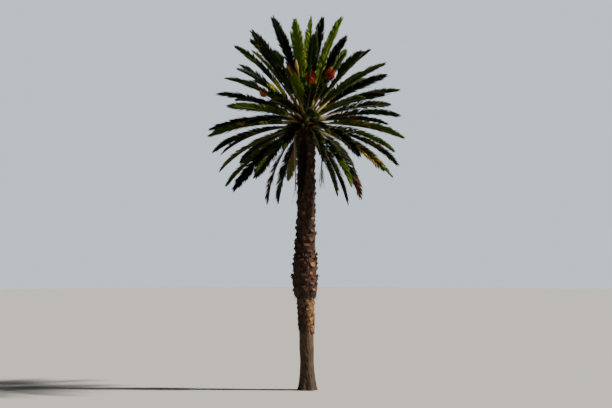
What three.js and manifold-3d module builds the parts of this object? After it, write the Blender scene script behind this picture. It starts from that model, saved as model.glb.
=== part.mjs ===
// A date palm: a bare stem, a tier of trimmed stubs, a stem coated with old leaf bases, and a round crown of stiff
// feather fronds with dead fronds hanging under it and fruit bunches standing among its fronds.
// Millimetres, +Z up. The origin is the centre of the flat cut at ground level; the palm is first seen from -Y.
import * as THREE from "three";
import { mergeVertices } from "three/addons/utils/BufferGeometryUtils.js";
import Module from "manifold-3d";

const wasm = await Module();
wasm.setup();

const { lerp, clamp, degToRad } = THREE.MathUtils;

// Stem: heights of its sections, and outlines as rows of height and radius with the leaf bases not counted
const BARE_TOP = 2150;
const STUB_TOP = 3300;
const BOOT_TOP = 8960;
const CORE_TOP = 10250;
const SECTION_LAP = 60;
const BARE_OUTLINE = [[0, 355], [180, 306], [480, 267], [1000, 250], [1650, 254], [2210, 272]];
const STUB_OUTLINE = [[2090, 278], [2450, 298], [3000, 292], [3360, 308]];
const BOOT_OUTLINE = [
  [3300, 345], [3500, 382], [4000, 398], [4400, 380], [4900, 335],
  [5600, 305], [6600, 290], [7800, 278], [8400, 290], [8960, 335],
];
const SWAY = [[0, 0], [2600, -40], [4000, -95], [6200, -45], [9000, -50]]; // sideways shift of the stem's middle

// Bare stem: sides, faint rings left by fallen leaves, and the lobes of the flare at its foot
const STEM_SIDES = 18;
const BARE_ROWS = 11;
const RING_RELIEF = 5;
const FLARE_LOBES = 6;
const FLARE_DEPTH = 0.08;
const FLARE_TOP = 600;

// Leaf bases and stubs: counts, how far they stand out, and the twist of each row against the one below
const BOOTS_AROUND = 8;
const BOOT_ROWS = 32;
const BOOT_RELIEF = 70;
const BOOT_CUT = 0.58; // size of the cut end of a leaf base against its foot
const BOOT_LIFT = 30; // how far the cut end is shifted up
const BOOT_LIP = 24; // how much more the upper edge of the cut end stands out
const STUBS_AROUND = 9;
const STUB_ROWS = 7;
const STUB_RELIEF = 30;
const ROW_TWIST = 3.2;

// Crown core, the stem's top that carries the fronds
const CORE_OUTLINE = [[8900, 325], [9080, 386], [9900, 388], [10030, 348], [10162, 250], [CORE_TOP, 105]];
const SEAT_GAP = 0.3;

// Crown: count of fronds and the seed of their spread. A frond's age runs from 0, upright, to 1, hanging.
const SEED = 9175;
const FRONDS = 84;
const DRY_FRONDS = 5;
const GOLDEN_ANGLE = 137.508;
const AZIMUTH_JITTER = 8;
const RISE_JITTER = 4;
const LENGTH_JITTER = 0.07;
const DROOP_JITTER = 0.3;
const LOWEST_RISE = -48; // rise of the chord of the oldest frond, in degrees
const LENGTHS = [[0, 2980], [0.5, 2900], [1, 3530]];
const DROOPS = [[0, 8], [0.35, 20], [0.5, 15], [0.72, 27], [1, 19]]; // bend from foot to tip, in degrees
const DROOP_SHARE = 0.42; // part of the bend that a frond rises above its chord at the foot
const DROOP_POWER = 1.4;
const TWIST = 60;
const TWIST_LEAST = 0.35;
const DRY_DROP = 18;
const DRY_LENGTH = 0.8;
const DRY_DROOP = 1.2;
const DRY_WIDTH = 0.7;
const CROWN_SHIFT = -50;
const DOME_RADIUS = 120;
const SIDE_RADIUS = 400;
const DOME_DROP = 350;
const LOWEST_FOOT = 9190;
const DOME_SHARE = 0.25; // share of the fronds that stand on the dome

// Frond: rib, sunk foot, leaflet blades
const RIB_WIDTHS = [[0, 92], [500, 62], [1500, 42], [3600, 14]];
const RIB_DEPTHS = [[0, 58], [500, 44], [1500, 32], [3600, 12]];
const FOOT_SUNK = 75;
const RIB_STEPS = 24;
const FIRST_LEAFLET = 0.17;
const LAST_LEAFLET = 0.94;
const LEAFLET_PAIRS = 11;
const LEAFLET_SPREAD = [[0.15, 62], [0.3, 50], [0.6, 37], [0.8, 30], [1, 20]]; // angle to the rib by place along it
const HALF_WIDTHS = [[0, 0.18], [0.14, 0.18], [0.25, 0.6], [0.45, 1], [0.7, 0.95], [0.93, 0.5], [1, 0.3]];
const HALF_WIDTH = 245;
const VEE = 32; // how far the two rows of leaflets are raised above flat
const LEAFLET_TRIES = [1, 0.8, 0.6, 0.42]; // shares of its length tried for a leaflet that would touch another piece
const LEAFLET_ROOM = 1.06; // growth of a leaflet while it is tried
const TIP_REACH = 1.02;

// Fronds that share a node: the upright ones on a bud, and pairs of neighbours joined at their feet
const YOUNG_FRONDS = 6;
const PAIR_STEP = 8;
const PAIR_BLOCKS = 3;
const EXTRA_PAIRS = [54, 55];
const TIE_REACH = 70; // distance of a tie from the feet along the ribs
const TIE_SIZE = 34;
const BUD_OUTLINE = [[10120, 215], [10200, 205], [10330, 165], [10430, 60]];
const BUD_SIDES = 8;

// Fruit bunches: the stalk's azimuth and height where it leaves the core, its bow, and the fruit's middle and size
const BUNCHES = [
  {
    name: "front", azimuth: -76, height: 10171, bow: [-45, 39, -20], middle: [109, -723, 11106],
    width: 350, tall: 560,
  },
  {
    name: "right", azimuth: -23.8, height: 10077, bow: [24, -15, -10], middle: [834, -472, 11247],
    width: 330, tall: 460,
  },
  {
    name: "left", azimuth: -135.8, height: 9953, bow: [-35, -32, -2], middle: [-630, -876, 11285],
    width: 290, tall: 440, sheath: 470,
  },
  {
    name: "side", azimuth: -156.6, height: 9623, bow: [-111, 0, 41], middle: [-1595, -557, 10570],
    width: 240, tall: 330,
  },
  {
    name: "rear", azimuth: 23.2, height: 9803, bow: [-31, -9, 84], middle: [255, 619, 11093],
    width: 340, tall: 520,
  },
  {
    name: "rear_left", azimuth: 171.2, height: 9926, bow: [-68, -29, -73], middle: [-715, 386, 10924],
    width: 300, tall: 460,
  },
];
const STALK_WIDTH = 36;
const STALK_STEPS = 5;
const STALK_SHARE = 0.4; // part of the fruit's height that its stalk stops under the middle
const FRUIT_SIDES = 8;
const SHEATH_SIDES = 4;
const FRUIT_SHAPE = [[-0.38, 0.62], [-0.12, 0.97], [0.14, 0.93], [0.36, 0.6]]; // place along, width share
const FRUIT_LEAN = 0.6; // how much a bunch points away from the crown's middle rather than up
const CROWN_MIDDLE = 9700;

const UP = new THREE.Vector3(0, 0, 1);

const trunkMaterial = new THREE.MeshStandardMaterial({ color: 0x6b4a33, roughness: 0.95, metalness: 0 });
const frondMaterial = new THREE.MeshStandardMaterial({ color: 0x3d4a1c, roughness: 0.6, metalness: 0 });
const youngMaterial = new THREE.MeshStandardMaterial({ color: 0x56661c, roughness: 0.6, metalness: 0 });
const dryMaterial = new THREE.MeshStandardMaterial({ color: 0x6b4f3c, roughness: 0.85, metalness: 0 });
const fruitMaterial = new THREE.MeshStandardMaterial({ color: 0x8c3a14, roughness: 0.5, metalness: 0 });

// Repeatable dice
class Dice {
  constructor(seed) {
    this.state = seed >>> 0;
  }
  next() {
    this.state = (Math.imul(this.state, 1664525) + 1013904223) >>> 0;
    return this.state / 2 ** 32;
  }
  spread(size) {
    return (this.next() * 2 - 1) * size;
  }
}

// Value at x of rows of x and value, straight between the rows
function along(rows, x) {
  if (x <= rows[0][0]) return rows[0][1];
  for (let i = 1; i < rows.length; i++) {
    const [low, high] = [rows[i - 1], rows[i]];
    if (x <= high[0]) return lerp(low[1], high[1], (x - low[0]) / (high[0] - low[0]));
  }
  return rows[rows.length - 1][1];
}

// Closed body from points and triangles
class Shell {
  constructor() {
    this.points = [];
    this.faces = [];
  }
  point(v) {
    this.points.push(v.x, v.y, v.z);
    return this.points.length / 3 - 1;
  }
  tri(a, b, c) {
    this.faces.push(a, b, c);
  }
  quad(a, b, c, d) {
    this.faces.push(a, b, c, a, c, d);
  }
  solid() {
    const made = new wasm.Manifold(
      new wasm.Mesh({
        numProp: 3,
        vertProperties: new Float32Array(this.points),
        triVerts: new Uint32Array(this.faces),
      }),
    );
    return made;
  }
}

function geometryOf(solid) {
  const mesh = solid.getMesh();
  const points = new Float32Array(mesh.numVert * 3);
  for (let i = 0; i < mesh.numVert; i++) {
    for (let k = 0; k < 3; k++) points[i * 3 + k] = mesh.vertProperties[i * mesh.numProp + k];
  }
  const geometry = new THREE.BufferGeometry()
    .setAttribute("position", new THREE.BufferAttribute(points, 3))
    .setIndex(new THREE.BufferAttribute(new Uint32Array(mesh.triVerts), 1));
  const merged = mergeVertices(geometry, 1e-3);
  merged.computeVertexNormals();
  return merged;
}

// Body of stacked rings, each ring a function of its angle; closed flat at both ends
function stack(rows, sides, ringPoint) {
  const shell = new Shell();
  rows.forEach((row, r) => {
    for (let k = 0; k < sides; k++) shell.point(ringPoint(row, r, (k / sides) * Math.PI * 2));
  });
  const last = rows.length - 1;
  for (let r = 0; r < last; r++) {
    for (let k = 0; k < sides; k++) {
      const n = (k + 1) % sides;
      shell.quad(r * sides + k, r * sides + n, (r + 1) * sides + n, (r + 1) * sides + k);
    }
  }
  for (let k = 1; k < sides - 1; k++) {
    shell.tri(0, k + 1, k);
    shell.tri(last * sides, last * sides + k, last * sides + k + 1);
  }
  return shell.solid();
}

function stemPoint(height, radius, angle) {
  return new THREE.Vector3(along(SWAY, height) + radius * Math.cos(angle), radius * Math.sin(angle), height);
}

function bareStem() {
  const rows = [0, 90, 200];
  for (let r = 1; r <= BARE_ROWS; r++) rows.push(lerp(200, BARE_TOP + SECTION_LAP, r / BARE_ROWS));
  return stack(rows, STEM_SIDES, (height, r, angle) => {
    const flare = clamp(1 - height / FLARE_TOP, 0, 1);
    const lobes = 1 + FLARE_DEPTH * flare * Math.cos(FLARE_LOBES * angle + 0.6);
    const ring = r % 2 ? RING_RELIEF : -RING_RELIEF;
    return stemPoint(height, along(BARE_OUTLINE, height) * lobes + ring * (1 - flare), angle);
  });
}

// Stem section coated with lozenges in staggered rows; tile() gets the four corners of a lozenge and fills it
function latticeStem(outline, bottom, top, rows, around, tile) {
  const shell = new Shell();
  const step = (top - bottom) / rows;
  const angleOf = (r, k) => ((k + (r % 2) * 0.5) / around) * Math.PI * 2 + degToRad(ROW_TWIST) * r;
  const spot = (r, k, out = 0, lift = 0) => {
    const height = bottom + step * r + lift;
    return stemPoint(height, along(outline, height) + out, angleOf(r, k));
  };
  for (let r = 0; r <= rows; r++) {
    for (let k = 0; k < around; k++) shell.point(spot(r, k));
  }
  const id = (r, k) => r * around + ((k % around) + around) % around;
  for (let r = 0; r + 2 <= rows; r++) {
    for (let k = 0; k < around; k++) {
      const odd = r % 2;
      const left = id(r + 1, odd ? k : k - 1);
      const right = id(r + 1, odd ? k + 1 : k);
      const corners = [id(r, k), right, id(r + 2, k), left];
      tile(shell, corners, r, k);
    }
  }
  for (let k = 0; k < around; k++) {
    // half lozenges at both ends
    shell.tri(id(0, k), id(0, k + 1), id(1, k));
    const odd = rows % 2;
    shell.tri(id(rows, k + 1), id(rows, k), id(rows - 1, odd ? k + 1 : k));
  }
  for (let k = 1; k < around - 1; k++) {
    shell.tri(id(0, 0), id(0, k + 1), id(0, k));
    shell.tri(id(rows, 0), id(rows, k), id(rows, k + 1));
  }
  return shell.solid();
}

function cornerPoint(shell, id) {
  return new THREE.Vector3().fromArray(shell.points, id * 3);
}

function outwards(v) {
  return new THREE.Vector3(v.x - along(SWAY, v.z), v.y, 0).normalize();
}

// A leaf base: the lozenge's foot drawn in to a smaller cut end that stands out, its upper edge furthest
function bootTile(shell, corners, r, k) {
  const foot = corners.map((id) => cornerPoint(shell, id));
  const middle = foot.reduce((sum, v) => sum.add(v), new THREE.Vector3()).multiplyScalar(0.25);
  const out = outwards(middle);
  const vary = 0.82 + 0.36 * new Dice(r * 977 + k * 131 + 7).next();
  const cut = foot.map((v, n) => {
    const lip = n === 2 ? BOOT_LIP : n === 0 ? -BOOT_LIP * 0.4 : 0;
    const radius = along(BOOT_OUTLINE, middle.z);
    const flat = new THREE.Vector3().lerpVectors(middle, v, BOOT_CUT);
    const shift = radius - Math.hypot(middle.x - along(SWAY, middle.z), middle.y);
    return shell.point(flat.addScaledVector(out, (BOOT_RELIEF + lip) * vary + shift).addScaledVector(UP, BOOT_LIFT));
  });
  for (let n = 0; n < 4; n++) {
    const m = (n + 1) % 4;
    shell.quad(corners[n], corners[m], cut[m], cut[n]);
  }
  shell.quad(cut[0], cut[1], cut[2], cut[3]);
}

// A trimmed stub: a low pyramid
function stubTile(shell, corners, r, k) {
  const foot = corners.map((id) => cornerPoint(shell, id));
  const middle = foot.reduce((sum, v) => sum.add(v), new THREE.Vector3()).multiplyScalar(0.25);
  const vary = 0.75 + 0.5 * new Dice(r * 613 + k * 89 + 3).next();
  const out = outwards(middle);
  const peak = shell.point(middle.clone().addScaledVector(out, STUB_RELIEF * vary + 12).addScaledVector(UP, 22));
  for (let n = 0; n < 4; n++) shell.tri(corners[n], corners[(n + 1) % 4], peak);
}

function coreSolid(grow) {
  return stack(CORE_OUTLINE, STEM_SIDES, ([height, radius], r, angle) => {
    const z = r === 0 ? height - grow : height + grow;
    return new THREE.Vector3(
      CROWN_SHIFT + (radius + grow * 1.05) * Math.cos(angle), (radius + grow * 1.05) * Math.sin(angle), z,
    );
  });
}

function trunkSolid() {
  const stubLow = BARE_TOP - SECTION_LAP;
  const stubs = latticeStem(STUB_OUTLINE, stubLow, STUB_TOP + SECTION_LAP, STUB_ROWS, STUBS_AROUND, stubTile);
  const boots = latticeStem(BOOT_OUTLINE, STUB_TOP, BOOT_TOP, BOOT_ROWS, BOOTS_AROUND, bootTile);
  return bareStem().add(stubs).add(boots).add(coreSolid(0));
}

// One frond: its place on the crown, its curve, and the frame of the rib at any place along it
class Frond {
  constructor(index, first, dice) {
    const age = (index + 0.5) / FRONDS;
    const azimuth = first + index * GOLDEN_ANGLE + dice.spread(AZIMUTH_JITTER);
    const rise = 1 - (1 - Math.sin(degToRad(LOWEST_RISE))) * age;
    let chord = THREE.MathUtils.radToDeg(Math.asin(clamp(rise, -1, 1))) + dice.spread(RISE_JITTER);
    const longer = 1 + dice.spread(LENGTH_JITTER);
    const softer = 1 + dice.spread(DROOP_JITTER);
    const turn = dice.spread(1);
    this.index = index;
    this.age = age;
    this.dry = index >= FRONDS - DRY_FRONDS;
    this.droop = along(DROOPS, age) * softer;
    this.length = along(LENGTHS, age) * longer;
    if (this.dry) {
      chord -= DRY_DROP;
      this.length *= DRY_LENGTH;
      this.droop *= DRY_DROOP;
    }
    this.twist = (TWIST_LEAST + (1 - TWIST_LEAST) * Math.abs(turn)) * Math.sign(turn) * TWIST;
    this.launch = chord + this.droop * DROOP_SHARE;
    this.azimuth = degToRad(azimuth);
    this.curve = this.trace();
  }

  slope(q) {
    return degToRad(this.launch - this.droop * Math.max(q, 0) ** DROOP_POWER);
  }

  // Rows of place along the rib, distance from the crown's axis, and height
  trace() {
    const u = Math.sqrt(this.age) / Math.sqrt(DOME_SHARE);
    let radius = SIDE_RADIUS;
    let height = CORE_TOP - DOME_DROP;
    if (u < 1) {
      radius = lerp(DOME_RADIUS, SIDE_RADIUS, u);
      height = CORE_TOP - DOME_DROP * u * u;
    } else {
      height = lerp(CORE_TOP - DOME_DROP, LOWEST_FOOT, (this.age - DOME_SHARE) / (1 - DOME_SHARE));
    }
    const rows = [[0, radius, height]];
    const step = this.length / RIB_STEPS;
    for (let i = 0; i < RIB_STEPS; i++) {
      const slope = this.slope((i + 0.5) / RIB_STEPS);
      radius += Math.cos(slope) * step;
      height += Math.sin(slope) * step;
      rows.push([(i + 1) / RIB_STEPS, radius, height]);
    }
    return rows;
  }

  // Middle of the rib's top, its run, its side and its upper normal at q, 0 at the foot and 1 at the tip
  frame(q) {
    const slope = this.slope(q);
    const out = new THREE.Vector3(Math.cos(this.azimuth), Math.sin(this.azimuth), 0);
    const run = out.clone().multiplyScalar(Math.cos(slope)).addScaledVector(UP, Math.sin(slope));
    const flatSide = new THREE.Vector3(-out.y, out.x, 0);
    const flatNormal = out.clone().multiplyScalar(-Math.sin(slope)).addScaledVector(UP, Math.cos(slope));
    const turn = degToRad(this.twist) * Math.max(q, 0);
    const side = flatSide.clone().multiplyScalar(Math.cos(turn)).addScaledVector(flatNormal, Math.sin(turn));
    const normal = flatNormal.clone().multiplyScalar(Math.cos(turn)).addScaledVector(flatSide, -Math.sin(turn));
    const at = clamp(q, 0, 1) * RIB_STEPS;
    const i = Math.min(Math.floor(at), RIB_STEPS - 1);
    const radius = lerp(this.curve[i][1], this.curve[i + 1][1], at - i);
    const height = lerp(this.curve[i][2], this.curve[i + 1][2], at - i);
    const place = out.clone().multiplyScalar(radius).addScaledVector(UP, height);
    place.x += CROWN_SHIFT;
    if (q < 0 || q > 1) place.addScaledVector(run, (q < 0 ? q : q - 1) * this.length);
    return { place, run, side, normal };
  }

  ribWidth(q) {
    return along(RIB_WIDTHS, q * this.length);
  }

  ribDepth(q) {
    return along(RIB_DEPTHS, q * this.length);
  }

  // Left edge, right edge and keel of the rib at q
  section(q) {
    const { place, side, normal } = this.frame(q);
    const half = this.ribWidth(q) / 2;
    return [
      place.clone().addScaledVector(side, half),
      place.clone().addScaledVector(side, -half),
      place.clone().addScaledVector(normal, -this.ribDepth(q)),
    ];
  }

  // Tip of the leaflet blade between two stations on one side, at a share of its full length
  leafletTip(q0, q1, sign, share) {
    const q = (q0 + q1) / 2;
    const { place, run, side, normal } = this.frame(q);
    const angle = degToRad(along(LEAFLET_SPREAD, q));
    const reach = along(HALF_WIDTHS, q) * HALF_WIDTH * (this.dry ? DRY_WIDTH : 1) / Math.sin(angle);
    const vee = degToRad(VEE);
    const away = side.clone().multiplyScalar(sign * Math.cos(vee)).addScaledVector(normal, Math.sin(vee));
    return place
      .addScaledVector(side, sign * this.ribWidth(q) * 0.4)
      .addScaledVector(run, Math.cos(angle) * reach * share)
      .addScaledVector(away, Math.sin(angle) * reach * share);
  }
}

function crownFronds() {
  const dice = new Dice(SEED);
  const first = dice.next() * 360;
  return Array.from({ length: FRONDS }, (unused, index) => new Frond(index, first, dice));
}

// Triangles that cross: an edge of one runs through the other
const ray = new THREE.Ray();
const hit = new THREE.Vector3();
function crosses(one, other) {
  for (const [edges, face] of [[one, other], [other, one]]) {
    for (let n = 0; n < 3; n++) {
      const a = edges[n];
      const b = edges[(n + 1) % 3];
      ray.origin.copy(a);
      ray.direction.subVectors(b, a);
      const length = ray.direction.length();
      ray.direction.divideScalar(length);
      if (ray.intersectTriangle(face[0], face[1], face[2], false, hit) && hit.distanceTo(a) <= length) return true;
    }
  }
  return false;
}

// A convex or slim piece of the crown that others must keep clear of
class Obstacle {
  constructor(owner, triangles) {
    this.owner = owner;
    this.triangles = triangles;
    this.box = new THREE.Box3().setFromPoints(triangles.flat());
  }
  meets(other) {
    if (!this.box.intersectsBox(other.box)) return false;
    return this.triangles.some((one) => other.triangles.some((two) => crosses(one, two)));
  }
}

function ribObstacles(frond) {
  const pieces = [];
  for (let i = 0; i < RIB_STEPS; i++) {
    const a = frond.section(i / RIB_STEPS);
    const b = frond.section((i + 1) / RIB_STEPS);
    const triangles = [];
    for (let n = 0; n < 3; n++) {
      const m = (n + 1) % 3;
      triangles.push([a[n], b[n], b[m]], [a[n], b[m], a[m]]);
    }
    pieces.push(new Obstacle(frond.index, triangles));
  }
  return pieces;
}

function leafletObstacle(frond, q0, q1, sign, share) {
  const n = sign > 0 ? 0 : 1;
  const a = frond.section(q0);
  const b = frond.section(q1);
  const middle = a[n].clone().add(b[n]).multiplyScalar(0.5);
  const grow = (v) => v.clone().sub(middle).multiplyScalar(LEAFLET_ROOM).add(middle);
  const tip = grow(frond.leafletTip(q0, q1, sign, share));
  const [top0, top1, low0, low1] = [a[n], b[n], a[2], b[2]].map(grow);
  return new Obstacle(frond.index, [[top0, top1, tip], [low0, low1, tip], [top0, low0, tip], [top1, low1, tip]]);
}

const stationOf = (n) => lerp(FIRST_LEAFLET, LAST_LEAFLET, n / LEAFLET_PAIRS);

// Length share of every leaflet blade, 0 where it would touch another piece even when short
function fitLeaflets(fronds, others) {
  const pieces = [...others];
  for (const frond of fronds) pieces.push(...ribObstacles(frond));
  for (const frond of fronds) {
    frond.shares = [];
    const own = [];
    for (let n = 0; n < LEAFLET_PAIRS; n++) {
      frond.shares.push([1, -1].map((sign) => {
        for (const share of LEAFLET_TRIES) {
          const blade = leafletObstacle(frond, stationOf(n), stationOf(n + 1), sign, share);
          if (!pieces.some((piece) => piece.owner !== frond.index && piece.meets(blade))) {
            own.push(blade);
            return share;
          }
        }
        return 0;
      }));
    }
    pieces.push(...own);
  }
}

function frondSolid(frond) {
  const shell = new Shell();
  const foot = -FOOT_SUNK / frond.length;
  const stations = [foot, 0.07];
  for (let n = 0; n <= LEAFLET_PAIRS; n++) stations.push(stationOf(n));
  const rings = stations.map((q) => frond.section(q).map((v) => shell.point(v)));
  shell.tri(rings[0][0], rings[0][2], rings[0][1]);
  for (let i = 0; i + 1 < rings.length; i++) {
    const [l0, r0, k0] = rings[i];
    const [l1, r1, k1] = rings[i + 1];
    shell.quad(l0, r0, r1, l1);
    const pair = i - 2;
    [[l0, l1, k0, k1, 1], [r0, r1, k0, k1, -1]].forEach(([e0, e1, c0, c1, sign], n) => {
      const share = pair >= 0 ? frond.shares[pair][n] : 0;
      const put = (a, b, c) => (sign > 0 ? shell.tri(a, b, c) : shell.tri(a, c, b));
      if (!share) {
        put(e0, e1, c1);
        put(e0, c1, c0);
        return;
      }
      const tip = shell.point(frond.leafletTip(stations[i], stations[i + 1], sign, share));
      put(e0, e1, tip);
      put(c0, tip, c1);
      put(e0, tip, c0);
      put(e1, c1, tip);
    });
  }
  const [l, r, k] = rings[rings.length - 1];
  const end = frond.frame(TIP_REACH);
  const tip = shell.point(end.place.addScaledVector(end.normal, -RIB_DEPTHS[3][1] / 2));
  shell.tri(l, r, tip);
  shell.tri(r, k, tip);
  shell.tri(k, l, tip);
  return shell.solid();
}

// Solid of a shell whose faces may all have been turned inwards
function outward(shell) {
  const made = shell.solid();
  if (made.volume() > 0) return made;
  for (let n = 0; n < shell.faces.length; n += 3) {
    [shell.faces[n + 1], shell.faces[n + 2]] = [shell.faces[n + 2], shell.faces[n + 1]];
  }
  return shell.solid();
}

// Tapered four-sided bar between two points
function bar(from, to, size, sizeTo = size) {
  const run = to.clone().sub(from).normalize();
  const spare = Math.abs(run.z) > 0.9 ? new THREE.Vector3(1, 0, 0) : UP;
  const side = new THREE.Vector3().crossVectors(spare, run).normalize();
  const top = new THREE.Vector3().crossVectors(run, side);
  const shell = new Shell();
  [[from, size], [to, sizeTo]].forEach(([v, width]) => {
    [[1, 1], [-1, 1], [-1, -1], [1, -1]].forEach(([a, b]) => {
      shell.point(v.clone().addScaledVector(side, (a * width) / 2).addScaledVector(top, (b * width) / 2));
    });
  });
  for (let n = 0; n < 4; n++) {
    const m = (n + 1) % 4;
    shell.quad(n, m, m + 4, n + 4);
  }
  shell.quad(3, 2, 1, 0);
  shell.quad(4, 5, 6, 7);
  return shell.solid();
}

// A fruit bunch: its lean, and the curve of its stalk
class Bunch {
  constructor(data) {
    Object.assign(this, data);
    this.middle = new THREE.Vector3(...data.middle);
    const away = this.middle.clone().sub(new THREE.Vector3(CROWN_SHIFT, 0, CROWN_MIDDLE)).normalize();
    this.lean = away.multiplyScalar(FRUIT_LEAN).addScaledVector(UP, 1 - FRUIT_LEAN).normalize();
    const radius = along(CORE_OUTLINE, this.height);
    const turn = degToRad(this.azimuth);
    const start = new THREE.Vector3(CROWN_SHIFT + radius * Math.cos(turn), radius * Math.sin(turn), this.height);
    const end = this.middle.clone().addScaledVector(this.lean, -this.tall * STALK_SHARE);
    const bend = start.clone().lerp(end, 0.5).add(new THREE.Vector3(...this.bow));
    this.stalk = new THREE.QuadraticBezierCurve3(start, bend, end);
  }

  // Stalk of three sides, from its root sunk in the core to the fruit
  stalkSolid() {
    const shell = new Shell();
    const stations = [[this.stalk.getPoint(0).addScaledVector(this.stalk.getTangent(0), -FOOT_SUNK), 0]];
    for (let n = 1; n <= STALK_STEPS; n++) stations.push([this.stalk.getPoint(n / STALK_STEPS), n / STALK_STEPS]);
    const side = new THREE.Vector3().crossVectors(this.stalk.getTangent(0.5), UP).normalize();
    for (const [place, t] of stations) {
      const top = new THREE.Vector3().crossVectors(side, this.stalk.getTangent(t)).normalize();
      const size = STALK_WIDTH * lerp(0.62, 0.45, t);
      for (const angle of [90, 210, 330]) {
        shell.point(place.clone().addScaledVector(side, size * Math.cos(degToRad(angle)))
          .addScaledVector(top, size * Math.sin(degToRad(angle))));
      }
    }
    const last = stations.length - 1;
    for (let i = 0; i < last; i++) {
      for (let n = 0; n < 3; n++) {
        const m = (n + 1) % 3;
        shell.quad(i * 3 + n, (i + 1) * 3 + n, (i + 1) * 3 + m, i * 3 + m);
      }
    }
    shell.tri(0, 1, 2);
    shell.tri(last * 3, last * 3 + 2, last * 3 + 1);
    return outward(shell);
  }

  // Lumpy egg, or a slim blade beside it, about an axis along the lean
  egg(middle, width, thick, tall, lump, sides) {
    const shell = new Shell();
    const side = new THREE.Vector3().crossVectors(UP, this.lean).normalize();
    const front = new THREE.Vector3().crossVectors(this.lean, side);
    const dice = new Dice(Math.round(middle.x + middle.z));
    const low = shell.point(middle.clone().addScaledVector(this.lean, -tall / 2));
    FRUIT_SHAPE.forEach(([place, share], r) => {
      for (let k = 0; k < sides; k++) {
        const angle = ((k + (r % 2) * 0.5) / sides) * Math.PI * 2;
        const size = share * (1 + dice.spread(lump)) / 2;
        shell.point(middle.clone().addScaledVector(this.lean, place * tall)
          .addScaledVector(side, width * size * Math.cos(angle))
          .addScaledVector(front, thick * size * Math.sin(angle)));
      }
    });
    const high = shell.point(middle.clone().addScaledVector(this.lean, tall / 2));
    const id = (r, k) => 1 + r * sides + (k + sides) % sides;
    const last = FRUIT_SHAPE.length - 1;
    for (let k = 0; k < sides; k++) {
      shell.tri(low, id(0, k + 1), id(0, k));
      shell.tri(high, id(last, k), id(last, k + 1));
      for (let r = 0; r < last; r++) {
        if (r % 2) {
          shell.tri(id(r, k), id(r, k + 1), id(r + 1, k + 1));
          shell.tri(id(r, k), id(r + 1, k + 1), id(r + 1, k));
        } else {
          shell.tri(id(r, k), id(r, k + 1), id(r + 1, k));
          shell.tri(id(r, k + 1), id(r + 1, k + 1), id(r + 1, k));
        }
      }
    }
    return outward(shell);
  }

  solid() {
    let made = this.stalkSolid().add(this.egg(this.middle, this.width, this.width, this.tall, 0.1, FRUIT_SIDES));
    if (this.sheath) {
      const side = new THREE.Vector3(0.5, -0.2, 0.1).multiplyScalar(this.width);
      made = made.add(this.egg(this.middle.clone().add(side), 120, 50, this.sheath, 0, SHEATH_SIDES));
    }
    return made;
  }

  obstacle() {
    const mesh = this.solid().getMesh();
    const corner = (n) => new THREE.Vector3().fromArray(mesh.vertProperties, mesh.triVerts[n] * mesh.numProp);
    const triangles = [];
    for (let n = 0; n < mesh.triVerts.length; n += 3) triangles.push([corner(n), corner(n + 1), corner(n + 2)]);
    return new Obstacle(this.name, triangles);
  }
}

function ribMiddle(frond, distance) {
  const { place, normal } = frond.frame(distance / frond.length);
  return place.addScaledVector(normal, -frond.ribDepth(0) * 0.4);
}

// Named mesh in a group, its own frame at a place and turned about the upright by an azimuth
function addPart(group, name, solid, material, place = new THREE.Vector3(), azimuth = 0) {
  const mesh = new THREE.Mesh(geometryOf(solid), material.clone());
  mesh.name = name;
  group.add(mesh);
  mesh.position.copy(place).sub(group.position);
  mesh.rotation.z = azimuth;
  mesh.updateWorldMatrix(true, false);
  mesh.geometry.applyMatrix4(mesh.matrixWorld.clone().invert());
}

const palm = new THREE.Group();
palm.name = "date_palm";
const crown = new THREE.Group();
crown.position.set(CROWN_SHIFT, 0, CROWN_MIDDLE);
palm.add(crown);

const fronds = crownFronds();
const bunches = BUNCHES.map((data) => new Bunch(data));
fitLeaflets(fronds, bunches.map((bunch) => bunch.obstacle()));

const seat = coreSolid(SEAT_GAP);
const solids = fronds.map(frondSolid);
const ties = new Map();
for (let block = 0; block < PAIR_BLOCKS; block++) {
  for (let n = 0; n < PAIR_STEP; n++) {
    const low = YOUNG_FRONDS + block * 2 * PAIR_STEP + n;
    ties.set(low, low + PAIR_STEP);
  }
}
for (const low of EXTRA_PAIRS) ties.set(low, low + PAIR_STEP);
const tied = new Set([...ties.keys(), ...ties.values()]);

addPart(palm, "trunk", trunkSolid(), trunkMaterial);

let young = stack(BUD_OUTLINE, BUD_SIDES, ([height, radius], r, angle) => new THREE.Vector3(
  CROWN_SHIFT + radius * Math.cos(angle), radius * Math.sin(angle), height,
));
for (let i = 0; i < YOUNG_FRONDS; i++) {
  const middle = new THREE.Vector3(CROWN_SHIFT, 0, CORE_TOP + 60);
  young = young.add(solids[i]).add(bar(middle, ribMiddle(fronds[i], 110), 60, TIE_SIZE));
}
addPart(crown, "young_fronds", young.subtract(seat), youngMaterial, new THREE.Vector3(CROWN_SHIFT, 0, CORE_TOP));

const two = (n) => String(n).padStart(2, "0");
const footOf = (frond) => frond.frame(0).place;
for (const [low, high] of ties) {
  const tie = bar(ribMiddle(fronds[low], TIE_REACH), ribMiddle(fronds[high], TIE_REACH), TIE_SIZE);
  const joined = solids[low].add(solids[high]).add(tie).subtract(seat);
  addPart(crown, `fronds_${two(low)}_${two(high)}`, joined, frondMaterial, footOf(fronds[low]), fronds[low].azimuth);
}
for (let i = YOUNG_FRONDS; i < FRONDS; i++) {
  if (tied.has(i)) continue;
  const name = (fronds[i].dry ? "dry_frond_" : "frond_") + two(i);
  const material = fronds[i].dry ? dryMaterial : frondMaterial;
  addPart(crown, name, solids[i].subtract(seat), material, footOf(fronds[i]), fronds[i].azimuth);
}
for (const bunch of bunches) {
  const solid = bunch.solid().subtract(seat);
  addPart(crown, "fruit_bunch_" + bunch.name, solid, fruitMaterial, bunch.stalk.getPoint(0), degToRad(bunch.azimuth));
}

export default palm;
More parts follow.
